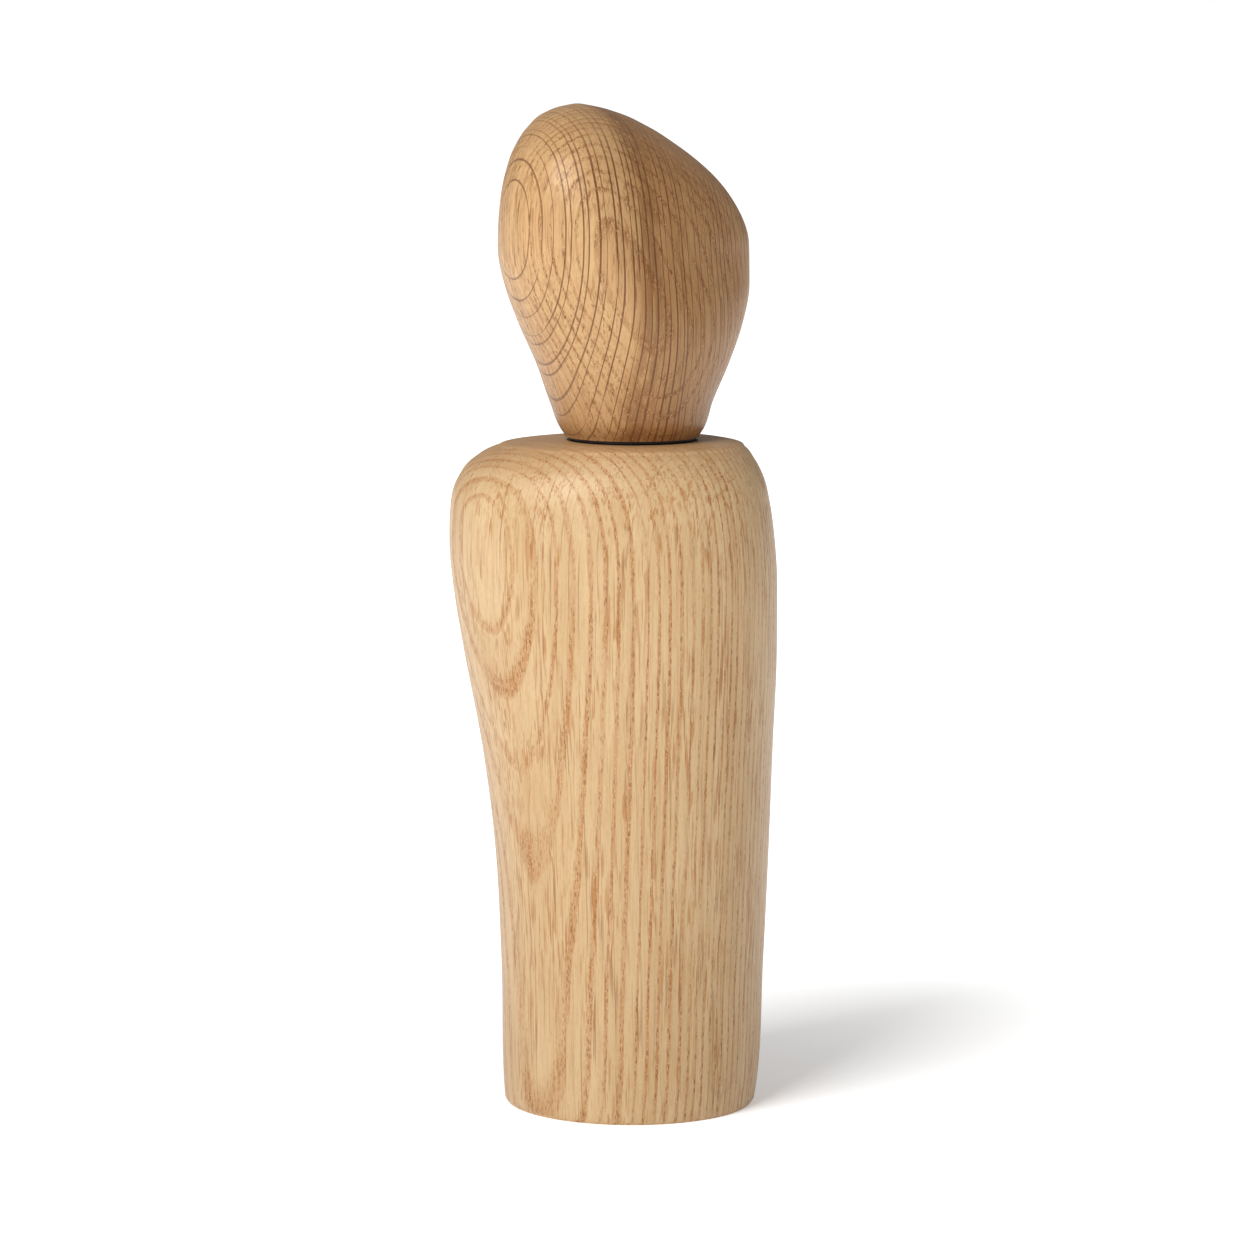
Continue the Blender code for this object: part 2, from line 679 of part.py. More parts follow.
# ---------------------------------------------------------------- grind setting
def make_adjusting_ring(parent):
    """The ring that fingers turn in the foot's recess. It lifts or lowers the stator by its inner thread."""
    low, collar_top, top, chamfer = 0.8, 5.1, 14.0, 0.6
    grip = scalloped(15.3, 0.9, TEETH)
    grip_edge = scalloped(15.3 - chamfer, 0.9, TEETH)
    detents = scalloped(16.7, 0.4, TEETH)
    mouth, bore, bore_low, detent_low = 12.6, 13.9, 3.5, 8.0
    profile = (
        (mouth, low),
        (grip_edge, low),
        (grip, low + chamfer),
        (grip, collar_top),
        (16.7, collar_top),
        (16.7, detent_low),
        (detents, detent_low),
        (detents, top),
        (bore, top),
        (bore, bore_low),
        (mouth, bore_low),
    )
    dressed(turned("adjusting_ring", profile, FORM_STEPS, parent), moulded("adjusting_ring_plastic"))


def make_stator_carrier(parent):
    """The cup that holds the ceramic ring. Three keys keep it from turning in the housing."""
    skirt_bore, skirt_r, skirt_low = 12.2, 13.6, 4.6
    cup_low, cup_r, cup_bore, cup_top = 15.1, 15.5, 14.5, 29.0
    ledge_r = 12.4
    profile = (
        (skirt_bore, skirt_low),
        (skirt_r, skirt_low),
        (skirt_r, cup_low),
        (cup_r, cup_low),
        (cup_r, cup_top),
        (cup_bore, cup_top),
        (cup_bore, BURR_BASE - GAP),
        (ledge_r, BURR_BASE - GAP),
        (skirt_bore, cup_low),
    )
    carrier = turned("stator_carrier", profile, FORM_STEPS, parent)
    keys = [(cup_r - 0.4, 17.6, angle, 4.6, 17.0, 26.0) for angle in SLOT_ANGLES]
    join(carrier, sectors("carrier_keys", keys, parent))
    dressed(carrier, moulded("carrier_plastic", GREY_PLASTIC))


def make_grinding_ring(parent):
    """The ceramic ring that stands still round the cone."""
    rim, high, rows, twist, chamfer = 14.2, 28.0, 5, -0.012, 0.6
    surface = toothed(RING_BURR_R, TOOTH_DEPTH, twist)
    profile = [(rim, BURR_BASE + chamfer), (rim, high), (rim - 1.0, high)]
    profile += [(surface, high - (high - BURR_BASE) * row / rows) for row in range(rows + 1)]
    profile.append((rim - chamfer, BURR_BASE))
    dressed(turned("grinding_ring", profile, FORM_STEPS, parent), ceramic("ring_ceramic"))


def main():
    clear_scene()
    body = axis_empty("body_axis")
    drive = axis_empty("drive_axis")
    head = axis_empty("head_axis")
    adjuster = axis_empty("adjuster_axis")
    stator = axis_empty("stator_axis")
    for make in (
        make_body_shell,
        make_neck_bush,
        make_mechanism_housing,
        make_bearing_bridge,
        make_adjuster_circlip,
        make_click_spring,
        make_preload_spring,
    ):
        make(body)
    for make in (
        make_drive_shaft,
        make_shaft_bush,
        make_shaft_clip,
        make_thrust_washer,
        make_feed_auger,
        make_rotor_hub,
        make_grinding_cone,
        make_lower_washer,
        make_rotor_screw,
    ):
        make(drive)
    for make in (make_head_shell, make_head_insert, make_grip_ring):
        make(head)
    make_adjusting_ring(adjuster)
    make_stator_carrier(stator)
    make_grinding_ring(stator)
    bpy.context.view_layer.update()


main()
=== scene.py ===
"""Looks of a carved oak pepper mill: a broad-shouldered body, a pebble head and the ceramic mechanism inside.

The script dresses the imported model. Each sub-assembly is a class that builds its fine meshes about the
mill's axis and puts its finishes on them. Sizes are in millimetres and turned into metres by MM.
"""

import json
import logging
import math
from dataclasses import dataclass
from enum import Enum
from typing import Callable, Iterable, NamedTuple, Sequence, Union

import bmesh
import bpy
import numpy as np
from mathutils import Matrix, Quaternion, Vector


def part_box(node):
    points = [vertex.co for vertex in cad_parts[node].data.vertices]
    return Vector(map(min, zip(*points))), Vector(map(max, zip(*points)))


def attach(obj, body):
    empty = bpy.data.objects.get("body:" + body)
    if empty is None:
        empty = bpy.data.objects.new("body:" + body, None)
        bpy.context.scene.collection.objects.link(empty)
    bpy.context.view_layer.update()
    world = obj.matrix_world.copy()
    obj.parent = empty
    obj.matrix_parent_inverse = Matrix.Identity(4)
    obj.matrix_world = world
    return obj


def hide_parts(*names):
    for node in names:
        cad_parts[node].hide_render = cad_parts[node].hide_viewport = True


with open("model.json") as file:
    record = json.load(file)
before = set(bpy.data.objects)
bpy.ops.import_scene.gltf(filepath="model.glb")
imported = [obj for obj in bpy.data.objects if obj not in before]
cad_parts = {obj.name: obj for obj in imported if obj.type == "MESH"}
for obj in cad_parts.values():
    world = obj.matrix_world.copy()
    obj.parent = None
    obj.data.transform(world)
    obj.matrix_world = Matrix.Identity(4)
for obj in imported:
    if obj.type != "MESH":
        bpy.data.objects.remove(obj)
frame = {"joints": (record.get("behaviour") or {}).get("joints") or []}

LOG = logging.getLogger("mill")
MM = 0.001
ELLIPSE = 0.5523  # handle length of a curve's quarter that makes it an ellipse
FULL_TURN = 2 * math.pi
FINE_TEETH = 3  # fine teeth to a coarse one
FINE_SHARE = 0.45  # depth of a fine tooth, as a share of a coarse one's
COARSE_RISE = 6.0  # height over which the coarse teeth take over
BURR_GAP = 16.6  # height of the burrs' tightest gap
UP = Vector((0.0, 0.0, 1.0))
WIDE_CELLS = (45.0, 45.0, 130.0)  # cells of the slow wander of rings and rays

Socket = bpy.types.NodeSocket
Piece = bpy.types.Object
Colour = tuple[float, float, float]
Operand = Union[float, Socket]
Radius = Union[float, Callable[[float, float], float]]
Ring = np.ndarray
Profile = Sequence[tuple[Radius, float]]


class Body(Enum):
    """The moving bodies of the frame."""

    STAND = "body"
    DRIVE = "drive"
    HEAD = "head"
    ADJUSTER = "adjuster"
    STATOR = "stator"


class Slot(Enum):
    """The record's material slots."""

    BODY_OAK = "body_oak"
    HEAD_OAK = "head_oak"
    BLACK = "black_plastic"
    GREY = "grey_plastic"
    IVORY = "ivory_plastic"
    CERAMIC = "white_ceramic"
    ALUMINIUM = "shaft_aluminium"
    STEEL = "spring_steel"


def joint_axis() -> Vector:
    """Foot of the mill's turning axis."""
    turn = next(joint for joint in frame["joints"] if joint["name"] == "mill_turn")
    return Vector((turn["pos_m"][0], turn["pos_m"][1], 0.0))


AXIS = joint_axis()


# ------------------------------------------------------------------------------------ node graphs
class Graph:
    """Builds one material's nodes from sockets and numbers."""

    def __init__(self, name: str) -> None:
        """Starts an empty material with one Principled shader.

        Args:
            name: The material's name.
        """
        self.material = bpy.data.materials.new(name)
        self.material.use_nodes = True
        self.tree = self.material.node_tree
        self.shader = self.tree.nodes["Principled BSDF"]

    def node(self, kind: str, *values: object, **settings: object) -> bpy.types.Node:
        """Adds a node, sets its properties and feeds its first inputs.

        Args:
            kind: The node's type name.
            values: What the inputs take, in order.
            settings: Property names and values.

        Returns:
            The new node.
        """
        made = self.tree.nodes.new(kind)
        for key, value in settings.items():
            setattr(made, key, value)
        for socket, value in zip(made.inputs, values):
            self.feed(socket, value)
        return made

    def feed(self, socket: Socket, value: object) -> None:
        """Links a socket into another, or sets a plain value.

        Args:
            socket: The input to feed.
            value: A socket or a plain value.
        """
        if isinstance(value, Socket):
            self.tree.links.new(value, socket)
        else:
            socket.default_value = value

    def fill(self, node: bpy.types.Node, **sockets: object) -> bpy.types.Node:
        """Feeds a node's inputs by name.

        Args:
            node: The node.
            sockets: Input names, with an underscore for a space, and what they take.

        Returns:
            The same node.
        """
        for key, value in sockets.items():
            self.feed(node.inputs[key.replace("_", " ")], value)
        return node

    def math(self, operation: str, *operands: Operand, clamp: bool = False) -> Socket:
        """One Math node.

        Args:
            operation: Blender's name of the operation.
            operands: Sockets or numbers.
            clamp: Whether to hold the result between 0 and 1.

        Returns:
            The result's socket.
        """
        return self.node("ShaderNodeMath", *operands, operation=operation, use_clamp=clamp).outputs[0]

    def vectors(self, operation: str, *operands: object) -> bpy.types.Node:
        """One Vector Math node."""
        return self.node("ShaderNodeVectorMath", *operands, operation=operation)

    def add(self, first: Operand, second: Operand) -> Socket:
        """Sum of two values."""
        return self.math("ADD", first, second)

    def times(self, first: Operand, second: Operand) -> Socket:
        """Product of two values."""
        return self.math("MULTIPLY", first, second)

    def scaled(self, value: Operand, factor: float, offset: float = 0.0) -> Socket:
        """A value times a factor plus an offset."""
        return self.math("MULTIPLY_ADD", value, factor, offset)

    def ramp(self, value: Operand, low: Operand, high: Operand) -> Socket:
        """Smooth step of a value from 0 at low to 1 at high. Low may be the larger."""
        operands = (value, low, high, 0.0, 1.0)
        return self.node("ShaderNodeMapRange", *operands, interpolation_type="SMOOTHSTEP").outputs[0]

    def place(self) -> Socket:
        """Position in millimetres from the foot of the mill's axis."""
        moved = self.vectors("SUBTRACT", self.node("ShaderNodeTexCoord").outputs["Object"], AXIS)
        return self.vectors("MULTIPLY", moved.outputs[0], (1.0 / MM,) * 3).outputs[0]

    def stretched(self, place: Socket, sizes: Sequence[float]) -> Socket:
        """Position divided by a cell's size along each axis."""
        return self.vectors("DIVIDE", place, tuple(sizes)).outputs[0]

    def along(self, place: Socket, direction: Vector) -> Socket:
        """Distance along a direction."""
        return self.vectors("DOT_PRODUCT", place, tuple(direction)).outputs["Value"]

    def vector(self, x: Operand, y: Operand, z: Operand) -> Socket:
        """A vector from three values."""
        return self.node("ShaderNodeCombineXYZ", x, y, z).outputs[0]

    def noise(self, place: Socket, sizes: Sequence[float], detail: float = 1.0) -> Socket:
        """Smooth noise between 0 and 1 with cells of the given sizes.

        Args:
            place: Position in millimetres.
            sizes: Cell size along each axis.
            detail: How many finer layers are added.

        Returns:
            The noise value's socket.
        """
        made = self.node("ShaderNodeTexNoise")
        self.fill(made, Scale=1.0, Detail=detail, Vector=self.stretched(place, sizes))
        return made.outputs["Fac"]

    def sway(self, place: Socket, sizes: Sequence[float], reach: float, seed: float) -> Socket:
        """Smooth noise about zero, with its own pattern for each seed."""
        moved = self.vectors("ADD", place, (seed * 31.7, seed * -17.3, seed * 53.9)).outputs[0]
        return self.scaled(self.noise(moved, sizes), 2.0 * reach, -reach)

    def dots(self, place: Socket, sizes: Sequence[float], inner: float, outer: float) -> Socket:
        """Scattered soft dots, one in each cell of the given sizes.

        Args:
            place: Position in millimetres.
            sizes: Cell size along each axis.
            inner: Radius up to which a dot is full, as a share of its cell.
            outer: Radius at which it has faded.

        Returns:
            The socket of the dots' strength.
        """
        made = self.node("ShaderNodeTexVoronoi", feature="F1")
        self.fill(made, Scale=1.0, Vector=self.stretched(place, sizes))
        return self.ramp(made.outputs["Distance"], outer, inner)

    def chance(self, value: Operand, seed: float = 0.0) -> Socket:
        """A random number for each whole value."""
        made = self.node("ShaderNodeTexWhiteNoise", noise_dimensions="1D")
        return self.fill(made, W=self.add(value, seed)).outputs["Value"]

    def mix(self, amount: Operand, first: object, second: object) -> Socket:
        """Blend of two colours.

        Args:
            amount: 0 for the first, 1 for the second.
            first: A colour or a colour's socket.
            second: A colour or a colour's socket.

        Returns:
            The blended colour's socket.
        """
        made = self.node("ShaderNodeMix", amount, data_type="RGBA")
        for socket, value in ((made.inputs[6], first), (made.inputs[7], second)):
            self.feed(socket, (*value, 1.0) if isinstance(value, tuple) else value)
        return made.outputs[2]

    def relief(self, height: Operand, strength: float, distance: float) -> None:
        """Bump on the shader's normal.

        Args:
            height: The height's socket.
            strength: How strongly the bump shows.
            distance: Depth in metres of a height of 1.
        """
        made = self.fill(self.node("ShaderNodeBump"), Strength=strength, Distance=distance, Height=height)
        self.surface(Normal=made.outputs[0])

    def surface(self, **sockets: object) -> None:
        """Feeds the shader's inputs by name, a colour as a tuple of three."""
        for key, value in sockets.items():
            self.fill(self.shader, **{key: (*value, 1.0) if isinstance(value, tuple) else value})


# ------------------------------------------------------------------------------------ finishes
@dataclass(frozen=True)
class OiledOak:
    """Open-grained oak, sanded and oiled, as a solid pattern of growth rings and rays."""

    name: str
    pale: Colour
    tan: Colour
    band: Colour
    pore: Colour
    ray: Colour
    # Pale colour of painted highlights: the specks in the porous bands, and the head's lit ridge.
    painted_highlight: Colour
    ring_bearing: float  # direction across the growth rings, in degrees from +X
    ray_bearing: float  # direction across the rays
    ring_width: float = 1.68
    ray_gap: float = 1.9
    ray_thickness: float = 1.0
    ray_depth: float = 0.75
    ray_cover: float = 0.5  # share of each ray sheet that shows, roughly
    band_depth: float = 0.5  # how dark the porous part of a growth ring is
    thread_depth: float = 0.45  # how dark the fine pore lines are
    ray_fade: float = 0.6  # how much fainter a ray is where the surface lies along it
    ring_shift: float = 0.0  # moves the growth rings across
    streak_at: float = 0.0  # where a dark streak runs and the head's darker right begins, measured across the rays; that darker right is partly darker wood, partly painted shade of the side away from the key light
    # streak_depth sets the streak, and with it the painted highlight on the head's lit ridge, the painted
    # shade near the neck and the partly painted shade of its right.
    streak_depth: float = 0.0
    end_depth: float = 0.3  # how much darker the end grain is
    heart: float = 150.0  # distance to the tree's heart, which curves the rings

    def _rings(self, g: Graph, place: Socket, across: Operand, beside: Operand) -> dict[str, Socket]:
        """Growth rings.

        Args:
            g: The material's graph.
            place: Position in millimetres.
            across: Distance across the rings.
            beside: Distance along them.

        Returns:
            How porous the wood is, as "porous", and a random tone for each ring, as "luck".
        """
        rough = g.sway(place, (5.0, 5.0, 14.0), 0.13, 1.0)
        wander = g.sway(place, WIDE_CELLS, 0.7, 2.0)
        squares = (g.math("POWER", side, 2.0) for side in (g.add(across, self.heart), beside))
        radius = g.math("SQRT", g.add(*squares))
        depth = g.add(g.scaled(radius, 1.0, self.ring_shift - self.heart), g.add(rough, wander))
        count = g.scaled(depth, 1.0 / self.ring_width)
        count = g.add(count, g.scaled(g.noise(g.vector(depth, 0.0, 0.0), (7.0, 1.0, 1.0)), 1.1))
        index = g.math("FLOOR", count)
        inside = g.math("SUBTRACT", count, index)
        luck = g.chance(index)
        reach = g.scaled(luck, 0.22, 0.3)
        rise = g.ramp(inside, 0.0, 0.1)
        fall = g.ramp(inside, reach, g.times(reach, 0.5))
        strength = g.ramp(g.noise(place, (9.0, 9.0, 30.0), 3.0), 0.3, 0.62)
        porous = g.times(g.times(rise, fall), g.scaled(strength, 0.7, 0.3))
        return {"porous": porous, "luck": luck}

    def _rays(
        self, g: Graph, place: Socket, across: Operand, beside: Operand, height: Operand, slimmer: Operand
    ) -> Socket:
        """Rays: thin long sheets that show as smooth brown lines.

        Args:
            g: The material's graph.
            place: Position in millimetres.
            across: Distance across the sheets.
            beside: Distance along them.
            height: Height above the foot.
            slimmer: Factor on their thickness.

        Returns:
            The socket of the rays' strength.
        """
        wander = g.add(g.sway(place, WIDE_CELLS, 0.4, 3.0), g.sway(place, (7.0, 7.0, 30.0), 0.05, 4.0))
        depth = g.add(across, wander)
        count = g.scaled(depth, 1.0 / self.ray_gap)
        count = g.add(count, g.scaled(g.noise(g.vector(depth, 3.0, 0.0), (8.0, 1.0, 1.0)), 0.9))
        index = g.math("FLOOR", count)
        inside = g.math("SUBTRACT", count, index)
        middle = g.scaled(g.chance(index, 5.0), 0.5, 0.25)
        away = g.scaled(g.math("ABSOLUTE", g.math("SUBTRACT", inside, middle)), self.ray_gap)
        sheet = g.vector(g.scaled(index, 7.31), g.scaled(beside, 1 / 15.0), g.scaled(height, 1 / 21.0))
        hidden = g.scaled(g.chance(index, 9.0), 0.14, 0.61 - 0.5 * self.ray_cover)
        body = g.math("SUBTRACT", g.noise(sheet, (1.0, 1.0, 1.0)), hidden)
        widest = g.scaled(g.chance(index, 2.0), 0.09, 0.07)
        thickness = g.times(g.math("MULTIPLY", body, 5.5, clamp=True), widest)
        thickness = g.times(thickness, g.times(slimmer, self.ray_thickness))
        line = g.ramp(away, g.scaled(thickness, 1.3, 0.02), g.times(thickness, 0.65))
        return g.times(line, g.math("GREATER_THAN", thickness, 0.012))

    def _facing(self, g: Graph, direction: Vector) -> Socket:
        """How squarely the piece's surface faces a direction of the piece, from 0 to 1."""
        normal = g.node("ShaderNodeTexCoord").outputs["Normal"]
        return g.math("ABSOLUTE", g.along(normal, direction))

    def material(self) -> bpy.types.Material:
        """Builds the finish.

        Returns:
            The material.
        """
        g = Graph(self.name)
        place = g.place()
        ring_way, ray_way = (
            Vector((math.cos(math.radians(turn)), math.sin(math.radians(turn)), 0.0))
            for turn in (self.ring_bearing, self.ray_bearing)
        )
        across_rings, across_rays = g.along(place, ring_way), g.along(place, ray_way)
        height = g.along(place, UP)
        rings = self._rings(g, place, across_rings, across_rays)
        facing_rays = self._facing(g, ray_way)
        slimmer = g.scaled(g.ramp(facing_rays, 0.1, 0.7), -0.5, 1.0)
        rays = self._rays(g, place, across_rays, across_rings, height, slimmer)
        lying = g.ramp(facing_rays, 0.5, 0.97)
        rays = g.times(rays, g.scaled(lying, -self.ray_fade, 1.0))
        fibre = g.noise(place, (0.34, 0.34, 6.0), 2.0)
        coarse = g.noise(place, (1.3, 1.3, 34.0), 2.0)
        cloud = g.noise(place, (13.0, 13.0, 40.0), 2.0)
        tone = g.add(g.scaled(g.ramp(cloud, 0.3, 0.7), 0.4), g.scaled(g.ramp(coarse, 0.3, 0.7), 0.35))
        tone = g.add(tone, g.add(g.scaled(rings["luck"], 0.25), g.scaled(fibre, 0.5, -0.25)))
        wood = g.mix(g.math("MULTIPLY", tone, 1.0, clamp=True), self.pale, self.tan)
        if self.streak_depth:
            beside_streak = g.math("ABSOLUTE", g.scaled(across_rays, 1.0, -self.streak_at))
            streak = g.times(g.ramp(beside_streak, 4.5, 0.5), g.ramp(coarse, 0.2, 0.55))
            # Darker towards the head's right, the side away from the key light: partly darker wood, partly
            # painted shade.
            beyond = g.ramp(across_rays, self.streak_at + 4.0, self.streak_at - 6.0)
            # Lighter towards the head's left ridge, which faces the key light: painted highlight.
            outer = g.ramp(across_rays, self.streak_at + 1.0, self.streak_at + 6.0)
            # Darker towards the neck, where the head's underside faces down: painted shade.
            neck_painted_shade = g.ramp(height, HEAD_BASE + 22.0, HEAD_BASE)
            wood = g.mix(g.scaled(outer, self.streak_depth * 0.5), wood, self.painted_highlight)
            wood = g.mix(g.scaled(beyond, self.streak_depth * 0.65), wood, self.band)
            wood = g.mix(g.scaled(neck_painted_shade, self.streak_depth * 0.7), wood, self.band)
            wood = g.mix(g.scaled(streak, self.streak_depth), wood, self.ray)
        vessels = g.dots(place, (0.46, 0.46, 1.7), 0.22, 0.44)
        specks = g.dots(place, (0.5, 0.5, 0.9), 0.14, 0.32)
        dashes = g.ramp(g.noise(place, (0.52, 0.52, 9.0), 1.0), 0.53, 0.62)
        threads = g.ramp(g.noise(place, (0.4, 0.4, 26.0), 1.0), 0.56, 0.66)
        dusk = g.ramp(g.noise(place, (2.2, 2.2, 24.0), 2.0), 0.42, 0.62)
        upward = g.ramp(self._facing(g, UP), 0.35, 0.95)
        wood = g.mix(g.scaled(upward, self.end_depth), wood, self.band)
        wood = g.mix(g.scaled(rings["porous"], self.band_depth), wood, self.band)
        darkness = g.add(g.scaled(dusk, self.thread_depth, 0.15), g.scaled(rings["porous"], 0.4))
        dashed = g.times(dashes, darkness)
        dashed = g.times(dashed, g.scaled(upward, -0.75, 1.0))
        wood = g.mix(g.math("MULTIPLY", dashed, 1.0, clamp=True), wood, self.band)
        wood = g.mix(g.times(threads, g.scaled(dusk, self.thread_depth * 0.7, 0.1)), wood, self.pore)
        rays = g.times(rays, g.scaled(upward, -0.6, 1.0))
        wood = g.mix(g.times(rays, self.ray_depth), wood, self.ray)
        pores = g.times(vessels, g.scaled(rings["porous"], 0.85, 0.12))
        wood = g.mix(g.scaled(pores, 0.8), wood, self.pore)
        # Painted highlight specks in the pale highlight colour, mostly in the porous bands.
        painted_highlight_specks = g.times(specks, g.scaled(rings["porous"], 0.5, 0.1))
        wood = g.mix(painted_highlight_specks, wood, self.painted_highlight)
        finish = g.add(g.scaled(pores, 0.2, 0.36), g.scaled(fibre, 0.12))
        g.surface(Base_Color=wood, Roughness=finish, Specular_IOR_Level=0.42, Specular_Tint=(1.0, 0.9, 0.76))
        height_map = g.add(g.scaled(pores, -1.0), g.add(g.scaled(fibre, 0.35), g.scaled(rays, -0.25)))
        g.relief(height_map, 0.35, 0.00012)
        return g.material


@dataclass(frozen=True)
class MouldedPlastic:
    """Moulded plastic with a fine grain, and fibres where it is filled."""

    name: str
    colour: Colour
    roughness: float
    fibres: float = 0.0

    def material(self) -> bpy.types.Material:
        """Builds the finish.

        Returns:
            The material.
        """
        g = Graph(self.name)
        place = g.place()
        grain = g.noise(place, (0.12, 0.12, 0.12), 2.0)
        flow = g.noise(place, (6.0, 6.0, 9.0), 2.0)
        strands = g.dots(place, (0.35, 0.9, 0.35), 0.05, 0.25)
        light = tuple(min(1.0, value * 1.5 + 0.02) for value in self.colour)
        shade = g.mix(g.scaled(flow, 0.35), self.colour, light)
        shade = g.mix(g.scaled(strands, self.fibres), shade, light)
        g.surface(Base_Color=shade, Roughness=g.scaled(grain, 0.16, self.roughness), Specular_IOR_Level=0.4)
        g.relief(g.add(grain, g.scaled(strands, self.fibres)), 0.25, 0.00003)
        return g.material


@dataclass(frozen=True)
class FiredCeramic:
    """Hard unglazed ceramic, ground on its working faces."""

    name: str
    colour: Colour

    def material(self) -> bpy.types.Material:
        """Builds the finish.

        Returns:
            The material.
        """
        g = Graph(self.name)
        place = g.place()
        grit = g.noise(place, (0.09, 0.09, 0.09), 3.0)
        cloud = g.noise(place, (3.0, 3.0, 3.0), 2.0)
        specks = g.dots(place, (0.8, 0.8, 0.8), 0.03, 0.12)
        dusk = tuple(value * 0.82 for value in self.colour)
        shade = g.mix(g.ramp(cloud, 0.35, 0.7), self.colour, dusk)
        shade = g.mix(g.scaled(specks, 0.4), shade, (0.35, 0.3, 0.24))
        g.surface(Base_Color=shade, Roughness=g.scaled(grit, 0.25, 0.32))
        g.relief(grit, 0.2, 0.00004)
        return g.material


@dataclass(frozen=True)
class WorkedMetal:
    """Metal with fine marks left by drawing, turning or rolling."""

    name: str
    colour: Colour
    roughness: float
    marks: tuple[float, float, float]

    def material(self) -> bpy.types.Material:
        """Builds the finish.

        Returns:
            The material.
        """
        g = Graph(self.name)
        place = g.place()
        lines = g.noise(place, self.marks, 2.0)
        smear = g.noise(place, (4.0, 4.0, 6.0), 2.0)
        dull = tuple(value * 0.78 for value in self.colour)
        shade = g.mix(g.scaled(g.add(lines, smear), 0.4), self.colour, dull)
        g.surface(Base_Color=shade, Metallic=1.0, Roughness=g.scaled(lines, 0.2, self.roughness))
        g.relief(lines, 0.15, 0.00002)
        return g.material


@dataclass(frozen=True)
class StudioWhite:
    """The matt white sweep that the mill stands on. It glows by itself, weakly beside the mill and strongly
    further off: painted light that fades the mill's cast shadow.
    """

    name: str = "studio_white"
    value: float = 0.9
    near_glow: float = 0.31
    far_glow: float = 0.85
    near: float = 27.0  # distances from the mill's axis in millimetres
    far: float = 250.0

    def material(self) -> bpy.types.Material:
        """Builds the finish.

        Returns:
            The material.
        """
        g = Graph(self.name)
        place = g.place()
        tooth = g.noise(place, (1.5, 1.5, 1.5), 2.0)
        near, far = (self.value,) * 3, (self.value * 0.99,) * 3
        # Painted light: the floor's own glow grows with distance from the mill's axis.
        beyond = g.ramp(g.vectors("LENGTH", place).outputs["Value"], self.near, self.far)
        glow = g.scaled(beyond, self.far_glow - self.near_glow, self.near_glow)
        g.surface(Base_Color=g.mix(tooth, near, far), Roughness=0.9, Specular_IOR_Level=0.1)
        g.surface(Emission_Color=(1.0, 1.0, 1.0), Emission_Strength=glow)
        return g.material


BODY_OAK = OiledOak(
    name="body_oak_finish",
    pale=(0.532, 0.378, 0.212),
    tan=(0.442, 0.285, 0.138),
    band=(0.345, 0.150, 0.047),
    pore=(0.205, 0.075, 0.021),
    ray=(0.225, 0.102, 0.040),
    painted_highlight=(0.610, 0.410, 0.215),
    ring_bearing=-134.0,
    ray_bearing=-46.0,
    ring_shift=-0.45,
    ray_depth=0.6,
    ray_cover=0.42,
    ray_fade=0.75,
    band_depth=0.62,
    thread_depth=0.55,
)
HEAD_OAK = OiledOak(
    name="head_oak_finish",
    pale=(0.480, 0.286, 0.122),
    tan=(0.350, 0.172, 0.058),
    band=(0.222, 0.084, 0.021),
    pore=(0.120, 0.040, 0.010),
    ray=(0.110, 0.037, 0.010),
    painted_highlight=(0.600, 0.410, 0.225),
    ring_bearing=-63.0,
    ray_bearing=-153.0,
    ray_depth=0.92,
    ray_cover=0.85,
    ray_fade=0.25,
    ray_gap=1.6,
    ray_thickness=1.5,
    band_depth=0.45,
    thread_depth=0.42,
    streak_at=6.5,
    streak_depth=0.48,
    end_depth=0.05,
)
FINISHES = {
    Slot.BODY_OAK: BODY_OAK,
    Slot.HEAD_OAK: HEAD_OAK,
    Slot.BLACK: MouldedPlastic("black_plastic_finish", (0.018, 0.018, 0.02), 0.42),
    Slot.GREY: MouldedPlastic("grey_plastic_finish", (0.085, 0.087, 0.092), 0.5, fibres=0.4),
    Slot.IVORY: MouldedPlastic("ivory_plastic_finish", (0.66, 0.63, 0.56), 0.38),
    Slot.CERAMIC: FiredCeramic("white_ceramic_finish", (0.76, 0.73, 0.67)),
    Slot.ALUMINIUM: WorkedMetal("shaft_aluminium_finish", (0.74, 0.75, 0.76), 0.28, (0.08, 0.08, 12.0)),
    Slot.STEEL: WorkedMetal("spring_steel_finish", (0.58, 0.57, 0.55), 0.22, (0.15, 2.5, 0.15)),
}


# ------------------------------------------------------------------------------------ outlines
class BodyStation(NamedTuple):
    """The body's plan at one height. A fullness above ELLIPSE is squarer than an ellipse."""

    height: float
    left: float
    right: float
    depth: float
    fullness: float


class HeadStation(NamedTuple):
    """The head's plan at one height, from its four outermost points.

    A low facet value is a flat right front.
    """

    height: float
    left: float
    right: float
    depth: float
    ridge_x: float
    back_x: float
    left_y: float
    right_y: float
    facet: float
    cheek: float


BODY_HEIGHT, HEAD_BASE, HEAD_TOP = 140.0, 141.0, 209.6

